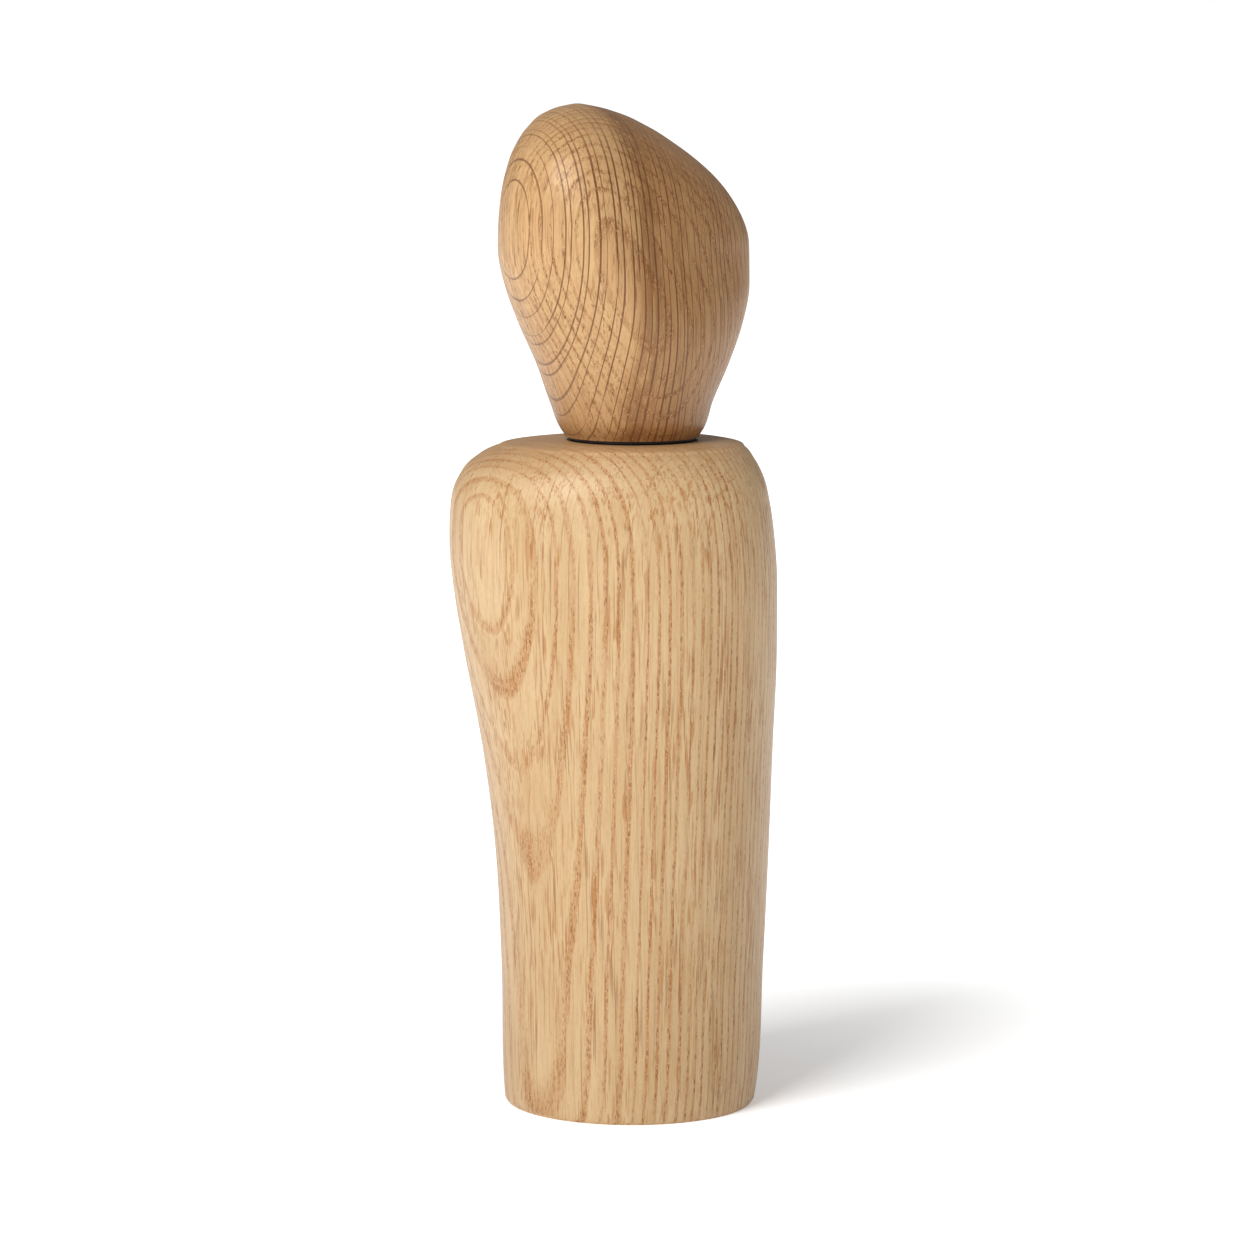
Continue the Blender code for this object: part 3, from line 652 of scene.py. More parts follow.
BODY_STATIONS = (
    BodyStation(0.0, 25.9, 25.9, 25.9, ELLIPSE),
    BodyStation(0.8, 26.4, 26.4, 26.4, ELLIPSE),
    BodyStation(30.0, 27.2, 28.1, 27.2, 0.56),
    BodyStation(57.0, 28.8, 29.2, 27.9, 0.57),
    BodyStation(76.0, 31.3, 29.8, 28.4, 0.58),
    BodyStation(96.0, 35.1, 30.5, 28.9, 0.59),
    BodyStation(108.0, 37.1, 30.5, 29.0, 0.60),
    BodyStation(119.0, 38.1, 29.9, 28.8, 0.60),
    BodyStation(127.0, 37.8, 28.8, 27.9, 0.60),
    BodyStation(132.0, 36.3, 27.6, 26.6, 0.60),
    BodyStation(136.0, 33.1, 25.6, 24.5, 0.58),
    BodyStation(138.6, 28.4, 23.6, 22.2, 0.56),
    BodyStation(139.6, 24.9, 22.2, 20.6, ELLIPSE),
    BodyStation(BODY_HEIGHT, 20.5, 20.0, 18.6, ELLIPSE),
)

HEAD_STATIONS = (
    HeadStation(HEAD_BASE, 14.0, 13.9, 13.9, 0.0, 0.0, 0.0, 0.0, ELLIPSE, ELLIPSE),
    HeadStation(141.5, 14.4, 14.3, 14.3, 0.0, 0.0, 0.0, 0.0, ELLIPSE, ELLIPSE),
    HeadStation(148.2, 17.3, 16.9, 17.4, 1.5, 0.0, -1.0, 2.0, 0.48, 0.56),
    HeadStation(156.0, 20.0, 20.3, 20.6, 2.0, 0.0, -2.0, 5.0, 0.42, 0.57),
    HeadStation(164.0, 23.5, 23.1, 23.6, 0.0, 1.0, -3.0, 8.0, 0.37, 0.58),
    HeadStation(172.0, 26.4, 24.5, 25.6, -3.0, 2.0, -4.0, 11.0, 0.32, 0.60),
    HeadStation(180.0, 27.9, 24.4, 26.4, -6.0, 3.0, -5.0, 13.0, 0.30, 0.60),
    HeadStation(188.0, 27.6, 21.7, 26.0, -8.5, 3.0, -5.0, 12.0, 0.32, 0.60),
    HeadStation(195.0, 26.5, 16.3, 24.2, -10.0, 0.0, -4.0, 10.0, 0.36, 0.60),
    HeadStation(201.0, 24.4, 8.9, 20.8, -10.5, -5.0, -3.0, 8.0, 0.42, 0.58),
    HeadStation(205.0, 21.7, 2.6, 16.4, -10.5, -8.0, -2.0, 5.0, 0.48, ELLIPSE),
    HeadStation(207.7, 18.5, -3.2, 10.8, -11.0, -10.0, -1.0, 2.0, ELLIPSE, ELLIPSE),
    HeadStation(209.0, 15.2, -7.6, 6.0, -11.6, -11.6, 0.0, 0.0, ELLIPSE, ELLIPSE),
    HeadStation(HEAD_TOP, 12.4, -10.8, 0.9, -11.6, -11.6, 0.0, 0.0, ELLIPSE, ELLIPSE),
)


def station_at(stations: Sequence[NamedTuple], height: float) -> NamedTuple:
    """The station at a height, along a cubic through the listed ones that never swings past them.

    Args:
        stations: The listed stations, from low to high.
        height: Where the plan is wanted.

    Returns:
        A station of the same kind.
    """
    rows = np.array(stations, dtype=float)
    heights = rows[:, 0]
    steps = np.diff(heights)[:, None]
    rises = np.diff(rows, axis=0) / steps
    slopes = np.empty_like(rows)
    slopes[0], slopes[-1] = rises[0], rises[-1]
    blend = (rises[:-1] * steps[1:] + rises[1:] * steps[:-1]) / (steps[1:] + steps[:-1])
    most = 3.0 * np.minimum(np.abs(rises[:-1]), np.abs(rises[1:]))
    inner = np.sign(blend) * np.minimum(np.abs(blend), most)
    slopes[1:-1] = np.where(rises[:-1] * rises[1:] > 0, inner, 0.0)
    index = int(np.clip(np.searchsorted(heights, height, side="right") - 1, 0, len(rows) - 2))
    step = steps[index, 0]
    t = (height - heights[index]) / step
    start, end = rows[index], rows[index + 1]
    leave, arrive = slopes[index] * step, slopes[index + 1] * step
    row = (
        (2 * t**3 - 3 * t**2 + 1) * start
        + (t**3 - 2 * t**2 + t) * leave
        + (3 * t**2 - 2 * t**3) * end
        + (t**3 - t**2) * arrive
    )
    return type(stations[0])(*row)


def plan_ring(
    extremes: Sequence[tuple[float, float]], handles: Sequence[float], height: float, count: int
) -> Ring:
    """Closed plan curve through its right, back, left and front points, as four cubic quarters.

    Args:
        extremes: The four outermost points.
        handles: Handle length of each quarter.
        height: The ring's height.
        count: How many points it has.

    Returns:
        The ring's points.
    """
    t = np.arange(count // 4)[:, None] / (count // 4)
    u = 1.0 - t
    quarters = []
    for quarter, handle in enumerate(handles):
        start, end = np.array(extremes[quarter]), np.array(extremes[(quarter + 1) % 4])
        across, along = np.array((end[0] - start[0], 0.0)), np.array((0.0, end[1] - start[1]))
        leaves_along = quarter % 2 == 0
        first = start + handle * (along if leaves_along else across)
        second = end - handle * (across if leaves_along else along)
        quarters.append(u**3 * start + 3 * u**2 * t * first + 3 * u * t**2 * second + t**3 * end)
    plan = np.concatenate(quarters)
    return np.column_stack((plan, np.full(count, height)))


def body_ring(height: float, count: int) -> Ring:
    """Ring of the body's outside at a height.

    Args:
        height: The ring's height.
        count: How many points it has.

    Returns:
        The ring's points.
    """
    s = station_at(BODY_STATIONS, height)
    extremes = ((s.right, 0.0), (0.0, s.depth), (-s.left, 0.0), (0.0, -s.depth))
    return plan_ring(extremes, (s.fullness,) * 4, height, count)


def head_ring(height: float, count: int) -> Ring:
    """Ring of the head's outside at a height.

    Args:
        height: The ring's height.
        count: How many points it has.

    Returns:
        The ring's points.
    """
    s = station_at(HEAD_STATIONS, height)
    extremes = ((s.right, s.right_y), (s.back_x, s.depth), (-s.left, s.left_y), (s.ridge_x, -s.depth))
    return plan_ring(extremes, (ELLIPSE, ELLIPSE, s.cheek, s.facet), height, count)


def crowding_upwards(low: float, high: float, count: int) -> list[float]:
    """Heights from low to high that lie closer together towards the top."""
    return [low + (high - low) * math.sin(math.pi / 2 * index / count) for index in range(count + 1)]


# ------------------------------------------------------------------------------------ meshes
def turned_ring(radius: Union[float, Sequence[float]], turn: Ring, height: float) -> Ring:
    """Ring of points at one height. The radius is one number, or one for each angle."""
    return np.column_stack((radius * np.cos(turn), radius * np.sin(turn), np.full(len(turn), height)))


def upright_section(angle: float, corners: Iterable[tuple[float, float]]) -> Ring:
    """Radii and heights as points at one angle about the axis."""
    return np.array([(r * math.cos(angle), r * math.sin(angle), z) for r, z in corners])


class MeshMaker:
    """Collects points and faces in millimetres about the mill's axis."""

    def __init__(self) -> None:
        """Starts empty."""
        self.points: list[tuple[float, float, float]] = []
        self.faces: list[tuple[int, ...]] = []

    def ring(self, points: Ring) -> list[int]:
        """Adds points.

        Args:
            points: The new points.

        Returns:
            Their numbers.
        """
        first = len(self.points)
        self.points.extend(map(tuple, points))
        return list(range(first, len(self.points)))

    def skin(self, rings: Sequence[Ring], closed: bool = False, capped: bool = False) -> None:
        """Joins neighbouring rings with four-sided faces.

        Args:
            rings: Rings of equal length, or of one point for a pole.
            closed: Whether the last ring joins the first.
            capped: Whether to close the first and the last ring with a face.
        """
        made = [self.ring(ring) for ring in rings]
        pairs = list(zip(made, made[1:]))
        if closed:
            pairs.append((made[-1], made[0]))
        for lower, upper in pairs:
            count = max(len(lower), len(upper))
            if count == 1:
                continue
            for index in range(count):
                following = (index + 1) % count
                corners = [lower[index % len(lower)], lower[following % len(lower)]]
                corners += [upper[following % len(upper)], upper[index % len(upper)]]
                self.faces.append(tuple(dict.fromkeys(corners)))
        if capped:
            self.faces.append(tuple(reversed(made[0])))
            self.faces.append(tuple(made[-1]))

    def turned(self, profile: Profile, steps: int) -> None:
        """Turns a closed profile about the axis.

        Args:
            profile: Radii and heights. A radius may be a function of angle and height.
            steps: How many points go round.
        """
        rings = []
        turn = FULL_TURN * np.arange(steps) / steps
        for radius, height in profile:
            if radius == 0.0:
                rings.append(np.array(((0.0, 0.0, height),)))
                continue
            radii = [radius(angle, height) for angle in turn] if callable(radius) else radius
            rings.append(turned_ring(radii, turn, height))
        self.skin(rings, closed=True)

    def sweep(self, sections: Sequence[Ring]) -> None:
        """Skins sections along a path and closes both ends."""
        self.skin(sections, capped=True)

    def sector(
        self, inner: float, outer: float, middle: float, half: float, low: float, high: float
    ) -> None:
        """An arc-shaped block.

        Args:
            inner: Its inner radius.
            outer: Its outer radius.
            middle: Angle of its middle in degrees.
            half: How far it reaches each way from there.
            low: Height of its underside.
            high: Height of its top.
        """
        angles = np.radians(np.linspace(middle - half, middle + half, max(4, round(half)) + 1))
        corners = ((inner, low), (outer, low), (outer, high), (inner, high))
        self.sweep([upright_section(angle, corners) for angle in angles])

    def build(self, name: str, sharp: float = 35.0) -> Piece:
        """Makes the object.

        Args:
            name: The piece's name.
            sharp: Angle in degrees from which an edge is shaded sharp.

        Returns:
            The object, with its points in metres in the frame.
        """
        mesh = bpy.data.meshes.new(name)
        points = [(x * MM + AXIS.x, y * MM + AXIS.y, z * MM) for x, y, z in self.points]
        mesh.from_pydata(points, [], self.faces)
        mesh.update()
        fix_normals(mesh)
        mesh.shade_smooth()
        mesh.set_sharp_from_angle(angle=math.radians(sharp))
        piece = bpy.data.objects.new(name, mesh)
        bpy.context.scene.collection.objects.link(piece)
        return piece


def fix_normals(mesh: bpy.types.Mesh) -> None:
    """Turns every face outwards.

    Args:
        mesh: The mesh to mend.
    """
    bm = bmesh.new()
    bm.from_mesh(mesh)
    bmesh.ops.recalc_face_normals(bm, faces=bm.faces)
    bm.to_mesh(mesh)
    bm.free()


def settle(piece: Piece) -> None:
    """Turns a piece's modifiers into its mesh.

    Args:
        piece: The piece.
    """
    graph = bpy.context.evaluated_depsgraph_get()
    mesh = bpy.data.meshes.new_from_object(piece.evaluated_get(graph))
    piece.modifiers.clear()
    piece.data = mesh


def combine(piece: Piece, tool: Piece, operation: str) -> None:
    """Cuts a tool from a piece, or joins it on, and removes the tool.

    Args:
        piece: The piece.
        tool: The mesh to cut with or to join on.
        operation: DIFFERENCE or UNION.
    """
    modifier = piece.modifiers.new("combine", "BOOLEAN")
    modifier.operation = operation
    modifier.object = tool
    bpy.context.view_layer.update()
    settle(piece)
    bpy.data.objects.remove(tool)


def ease_edges(piece: Piece, width: float) -> None:
    """Rounds a piece's sharp edges.

    Args:
        piece: The piece.
        width: The rounding's width in millimetres.
    """
    modifier = piece.modifiers.new("eased", "BEVEL")
    modifier.width = width * MM
    modifier.segments = 2
    modifier.limit_method = "ANGLE"
    modifier.angle_limit = math.radians(40.0)
    modifier.harden_normals = False
    bpy.context.view_layer.update()
    settle(piece)
    piece.data.shade_smooth()
    piece.data.set_sharp_from_angle(angle=math.radians(50.0))


def hexagon(flats: float) -> Callable[[float, float], float]:
    """Radius of a hexagon with a corner at angle 0.

    Args:
        flats: Its width across the flats.

    Returns:
        The radius as a function of angle and height.
    """
    sixth = math.pi / 3

    def radius(angle: float, _height: float) -> float:
        """Radius at an angle."""
        return flats / 2 / math.cos(angle % sixth - sixth / 2)

    return radius


def scalloped(rim: float, depth: float, count: int) -> Callable[[float, float], float]:
    """A rim with rounded notches.

    Args:
        rim: Its outermost radius.
        depth: The notches' depth.
        count: How many there are.

    Returns:
        The radius as a function of angle and height.
    """

    def radius(angle: float, _height: float) -> float:
        """Radius at an angle."""
        return rim - depth * (0.5 + 0.5 * math.cos(count * angle))

    return radius


def put_on(piece: Piece, body: Body, slot: Slot, node: str, material: bpy.types.Material) -> None:
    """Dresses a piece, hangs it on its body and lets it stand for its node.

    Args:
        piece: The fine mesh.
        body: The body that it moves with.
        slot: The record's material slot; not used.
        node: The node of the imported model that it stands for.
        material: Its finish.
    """
    piece.data.materials.clear()
    piece.data.materials.append(material)
    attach(piece, body.value)
    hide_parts(node)
    LOG.info("%s stands for %s on %s", piece.name, node, body.value)


class Finishes:
    """Every finish of the mill, built once."""

    def __init__(self) -> None:
        """Builds the materials."""
        self.by_slot = {slot: finish.material() for slot, finish in FINISHES.items()}

    def dress(self, piece: Piece, body: Body, slot: Slot, node: str) -> None:
        """Puts a slot's finish on a piece that stands for a node."""
        put_on(piece, body, slot, node, self.by_slot[slot])


# ------------------------------------------------------------------------------------ wooden forms
@dataclass
class CarvedBody:
    """The oak body with its stepped bore."""

    around: int = 240
    rows: int = 150
    foot_recess: tuple[float, float] = (22.5, 5.5)
    mechanism_bore: tuple[float, float] = (19.0, 44.0)
    chamber: tuple[float, float] = (15.0, 118.0)
    neck_bore: tuple[float, float] = (12.3, 122.0)
    bush_seat: tuple[float, float] = (13.3, 138.6)
    arris: float = 0.35

    def _inside(self) -> list[tuple[float, float]]:
        """The bore's profile.

        Returns:
            Radii and heights down the bore, from the land to the foot.
        """
        seat_r, seat_low = self.bush_seat
        neck_r, neck_low = self.neck_bore
        chamber_r, chamber_top = self.chamber
        bore_r, bore_top = self.mechanism_bore
        foot_r, foot_top = self.foot_recess
        return [
            (seat_r + self.arris, BODY_HEIGHT),
            (seat_r, BODY_HEIGHT - self.arris),
            (seat_r, seat_low),
            (neck_r, seat_low),
            (neck_r, neck_low),
            (chamber_r, chamber_top),
            (chamber_r, bore_top),
            (bore_r, bore_top),
            (bore_r, foot_top),
            (foot_r, foot_top),
            (foot_r, self.arris),
            (foot_r + self.arris, 0.0),
        ]

    def build(self, finishes: Finishes) -> None:
        """Makes the body.

        Args:
            finishes: The mill's finishes.
        """
        foot = [0.0, 0.06, 0.2, 0.45]
        heights = foot + crowding_upwards(0.8, BODY_HEIGHT, self.rows)
        outside = [body_ring(height, self.around) for height in heights]
        land = outside[-1]
        turn = np.arctan2(land[:, 1], land[:, 0])
        inside = [turned_ring(radius, turn, height) for radius, height in self._inside()]
        middle = (land + inside[0]) / 2
        maker = MeshMaker()
        maker.skin([*outside, middle, *inside], closed=True)
        finishes.dress(maker.build("carved_body"), Body.STAND, Slot.BODY_OAK, "body_shell")


@dataclass
class CarvedHead:
    """The oak head with its blind bore."""

    around: int = 240
    rows: int = 130
    bore: tuple[float, float] = (10.0, 171.5)
    bore_point: float = 174.0
    seam: float = 0.25  # how far the underside comes down to the insert's flange
    arris: float = 0.3

    def build(self, finishes: Finishes) -> None:
        """Makes the head.

        Args:
            finishes: The mill's finishes.
        """
        heights = crowding_upwards(HEAD_BASE + 0.5, HEAD_TOP, self.rows)
        outside = [head_ring(height, self.around) for height in heights]
        edge = [head_ring(HEAD_BASE + rise, self.around) for rise in (0.0, 0.1, 0.25)]
        for ring, drop in zip(edge, (self.seam, self.seam * 0.8, self.seam * 0.4)):
            ring[:, 2] -= drop
        turn = np.arctan2(edge[0][:, 1], edge[0][:, 0])
        low = HEAD_BASE - self.seam
        bore_r, bore_top = self.bore
        profile = ((bore_r, bore_top), (bore_r, low + self.arris), (bore_r + self.arris, low))
        inside = [turned_ring(radius, turn, height) for radius, height in profile]
        top = outside[-1].mean(axis=0) + np.array((0.0, 0.0, 0.01))
        point = np.array(((0.0, 0.0, self.bore_point),))
        maker = MeshMaker()
        maker.skin([point, *inside, *edge, *outside, top[None, :]])
        finishes.dress(maker.build("carved_head"), Body.HEAD, Slot.HEAD_OAK, "head_shell")


# ------------------------------------------------------------------------------------ mechanism
def span(node: str) -> tuple[float, float]:
    """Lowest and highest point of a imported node, in millimetres."""
    low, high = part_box(node)
    return low[2] / MM, high[2] / MM


def softened(profile: Profile, radius: float, steps: int = 4) -> list[tuple[Radius, float]]:
    """Rounds a profile's corners where its radii are plain numbers.

    Args:
        profile: Closed profile of radii and heights.
        radius: How far the rounding reaches along an edge, in millimetres.
        steps: How many points a rounded corner has.

    Returns:
        The rounded profile.
    """
    made: list[tuple[Radius, float]] = []
    for index, corner in enumerate(profile):
        before, after = profile[index - 1], profile[(index + 1) % len(profile)]
        if any(callable(point[0]) for point in (before, corner, after)) or corner[0] == 0.0:
            made.append(corner)
            continue
        here, back, on = (np.array(point, dtype=float) for point in (corner, before, after))
        start, end = back - here, on - here
        start *= min(radius, np.linalg.norm(start) * 0.45) / max(np.linalg.norm(start), 1e-6)
        end *= min(radius, np.linalg.norm(end) * 0.45) / max(np.linalg.norm(end), 1e-6)
        for t in np.linspace(0.0, 1.0, steps):
            made.append(tuple(here + start * (1 - t) ** 2 + end * t**2))
    return made


def toothed(base: float, slope: float, low: float, depth: float, teeth: int, turns_per_mm: float) -> Radius:
    """A burr's radius: coarse slanted teeth, with fine ones between them towards its narrow gap.

    Args:
        base: Radius at the height low.
        slope: Change of radius with height.
        low: Height of the burr's tightest gap.
        depth: Depth of a coarse tooth. A negative one cuts inwards.
        teeth: How many coarse teeth there are.
        turns_per_mm: How much they slant.

    Returns:
        The radius as a function of angle and height.
    """

    def radius(angle: float, height: float) -> float:
        """Radius at an angle and a height.

        Args:
            angle: Angle about the axis.
            height: Height above the foot.

        Returns:
            The radius.
        """
        turn = angle / FULL_TURN + turns_per_mm * height
        coarse = (teeth * turn) % 1.0
        fine = (FINE_TEETH * teeth * turn) % 1.0
        share = min(1.0, max(0.0, (height - low) / COARSE_RISE))
        return base + slope * (height - low) + depth * (share * coarse + (1.0 - share) * FINE_SHARE * fine)

    return radius


def wire_sections(
    radius: float, start: float, end: float, low: float, high: float, thickness: float
) -> list[Ring]:
    """Round sections of a wire that winds about the axis. Angles are in degrees.

    Args:
        radius: Radius of the wire's middle.
        start: Angle where it starts.
        end: Angle where it ends.
        low: Height where it starts.
        high: Height where it ends.
        thickness: The wire's diameter.

    Returns:
        The sections, with small ones at the ends to round them.
    """
    count = max(24, round(abs(end - start) / 7.5))
    around = np.linspace(0.0, FULL_TURN, 12, endpoint=False)
    sections = []
    for t in np.linspace(0.0, 1.0, count + 1):
        angle, height = math.radians(start + (end - start) * t), low + (high - low) * t
        size = thickness / 2 * (0.7 if t in (0.0, 1.0) else 1.0)
        corners = zip(radius + size * np.cos(around), height + size * np.sin(around))
        sections.append(upright_section(angle, corners))
    return sections


def turned_piece(name: str, profile: Profile, steps: int) -> Piece:
    """A turned piece.

    Args:
        name: Its name.
        profile: Its closed profile.
        steps: How many points go round.

    Returns:
        The piece.
    """
    maker = MeshMaker()
    maker.turned(profile, steps)
    return maker.build(name)


def sector_piece(name: str, sectors: Sequence[tuple[float, ...]]) -> Piece:
    """One mesh of arc-shaped blocks.

    Args:
        name: Its name.
        sectors: What MeshMaker.sector takes, for each block.

    Returns:
        The piece.
    """
    maker = MeshMaker()
    for sector in sectors:
        maker.sector(*sector)
    return maker.build(name)


def wire_piece(name: str, sections: Sequence[Ring]) -> Piece:
    """A bent wire.

    Args:
        name: Its name.
        sections: Its sections, from end to end.

    Returns:
        The piece.
    """
    maker = MeshMaker()
    maker.sweep(sections)
    return maker.build(name, sharp=60.0)


@dataclass
class StandingParts:
    """What the body holds still: collar, housing, bridge and springs."""

    slot_angles: tuple[float, ...] = (30.0, 150.0, 270.0)
    lug_angles: tuple[float, ...] = (90.0, 210.0, 330.0)
    window_angles: tuple[float, ...] = (0.0, 120.0, 240.0)
    collar_bore: float = 10.8
    collar_sleeve: float = 12.0
    collar_rim: float = 13.0
    flange_radius: float = 22.2
    lug: tuple[float, float, float] = (19.9, 31.3, 34.7)  # radius, underside and top
    lug_half: float = 6.0  # half width of a lug and of a slot, in degrees
    pocket: tuple[float, float, float] = (22.0, 8.0, 13.0)  # half width in degrees, underside and top
    circlip: tuple[float, float, float] = (15.7, 17.7, 170.0)  # radii, half width in degrees
    tube: tuple[float, float] = (17.0, 18.7)  # inner and outer radius
    shoulder: tuple[float, float, float] = (15.8, 14.3, 15.5)  # radius, underside and top
    circlip_groove: tuple[float, float, float] = (18.0, 3.8, 5.0)
    bridge_bore: float = 7.2
    bridge_hub: float = 9.2
    bridge_window: float = 14.8
    window_half: float = 50.0  # half width in degrees
    coil_radius: float = 15.2
    coil_wire: float = 1.0
    coil_turns: int = 3
    coil_room: float = 0.85  # left under the coil for the stator's rise
    leaf: tuple[float, float, float] = (17.2, 0.35, 18.0)  # radius, thickness, half width in degrees
    leaf_bump: tuple[float, float] = (0.25, 0.22)  # height, and width as a share of the half width

    def _collar(self) -> Piece:
        """The collar in the body's mouth.

        Returns:
            The collar.
        """
        low, top = span("neck_bush")
        step = CarvedBody.bush_seat[1] + 0.3
        bore, sleeve, rim = self.collar_bore, self.collar_sleeve, self.collar_rim
        profile = ((bore, low + 1.0), (sleeve - 0.4, low), (sleeve, low + 1.0), (sleeve, step))
        profile += ((rim, step), (rim, top), (bore + 0.4, top), (bore, top - 0.4))
        return turned_piece("neck_collar", softened(profile, 0.25), 144)

    def _housing(self) -> Piece:
        """The snap-in tube, with its slots, lugs and spring pocket.

        Returns:
            The tube.
        """
        low, high = span("mechanism_housing")
        inner, outer = self.tube
        shoulder_r, shoulder_low, shoulder_high = self.shoulder
        groove_r, groove_low, groove_high = self.circlip_groove
        flange_top = CarvedBody.foot_recess[1] - 0.3
        profile = ((inner, low), (self.flange_radius, low), (self.flange_radius, flange_top))
        profile += ((outer, flange_top), (outer, high), (inner, high), (inner, shoulder_high))
        profile += ((shoulder_r, shoulder_high), (shoulder_r, shoulder_low), (inner, shoulder_low))
        profile += ((inner, groove_high), (groove_r, groove_high))
        profile += ((groove_r, groove_low), (inner, groove_low))
        housing = turned_piece("housing_tube", softened(profile, 0.3), 180)
        half, low_slot, high_slot = self.lug_half, shoulder_high + 0.2, high + 1.0
        slots = [(shoulder_r - 1, inner + 0.9, a, half, low_slot, high_slot) for a in self.slot_angles]
        pocket = (inner - 1.0, inner + 1.0, 90.0, *self.pocket)
        combine(housing, sector_piece("housing_cutters", [*slots, pocket]), "DIFFERENCE")
        lug_r, lug_low, lug_high = self.lug
        lugs = [(outer - 0.4, lug_r, a, half, lug_low, lug_high) for a in self.lug_angles]
        combine(housing, sector_piece("housing_lugs", lugs), "UNION")
        return housing

    def _bridge(self) -> Piece:
        """The three-armed cover with the shaft's bearing.

        Returns:
            The cover.
        """
        low, high = span("bearing_bridge")
        outer = self.tube[1]
        profile = ((self.bridge_bore, low), (outer, low), (outer, high), (self.bridge_bore, high))
        bridge = turned_piece("bridge_arms", softened(profile, 0.3), 144)
        radii = (self.bridge_hub, self.bridge_window)
        windows = [(*radii, a, self.window_half, low - 1, high + 1) for a in self.window_angles]
        combine(bridge, sector_piece("bridge_windows", windows), "DIFFERENCE")
        ease_edges(bridge, 0.2)
        return bridge

    def _circlip(self) -> Piece:
        """The open ring under the adjusting ring's collar.

        Returns:
            The ring.
        """
        low, high = span("adjuster_circlip")
        inner, outer, half = self.circlip
        clip = sector_piece("retaining_circlip", [(inner, outer, 270.0, half, low, high)])
        ease_edges(clip, 0.12)
        return clip

    def _leaf(self) -> Piece:
        """The spring leaf with its bump.

        Returns:
            The leaf.
        """
        low, high = span("click_spring")
        rest, thick, half = self.leaf
        bump, width = self.leaf_bump
        sections = []
        for turn in np.linspace(-1.0, 1.0, 41):
            inner = rest - bump * math.exp(-((turn / width) ** 2))
            corners = ((inner, low), (inner + thick, low), (inner + thick, high), (inner, high))
            sections.append(upright_section(math.radians(90.0 + half * turn), corners))
        return wire_piece("click_leaf", sections)

    def _coil(self) -> Piece:
        """The coil that presses the stator down.

        Returns:
            The coil.
        """
        low, high = span("preload_spring")
        half = self.coil_wire / 2
        turns = 360.0 * self.coil_turns
        foot = low + half + self.coil_room
        sections = wire_sections(self.coil_radius, 0.0, turns, foot, high - half, self.coil_wire)
        return wire_piece("preload_coil", sections)

    def build(self, finishes: Finishes) -> None:
        """Makes and dresses the standing parts.

        Args:
            finishes: The mill's finishes.
        """
        pieces = (
            (self._collar, Slot.BLACK, "neck_bush"),
            (self._housing, Slot.GREY, "mechanism_housing"),
            (self._bridge, Slot.GREY, "bearing_bridge"),
            (self._circlip, Slot.STEEL, "adjuster_circlip"),
            (self._leaf, Slot.STEEL, "click_spring"),
            (self._coil, Slot.STEEL, "preload_spring"),
        )
        for make, slot, node in pieces:
            finishes.dress(make(), Body.STAND, slot, node)


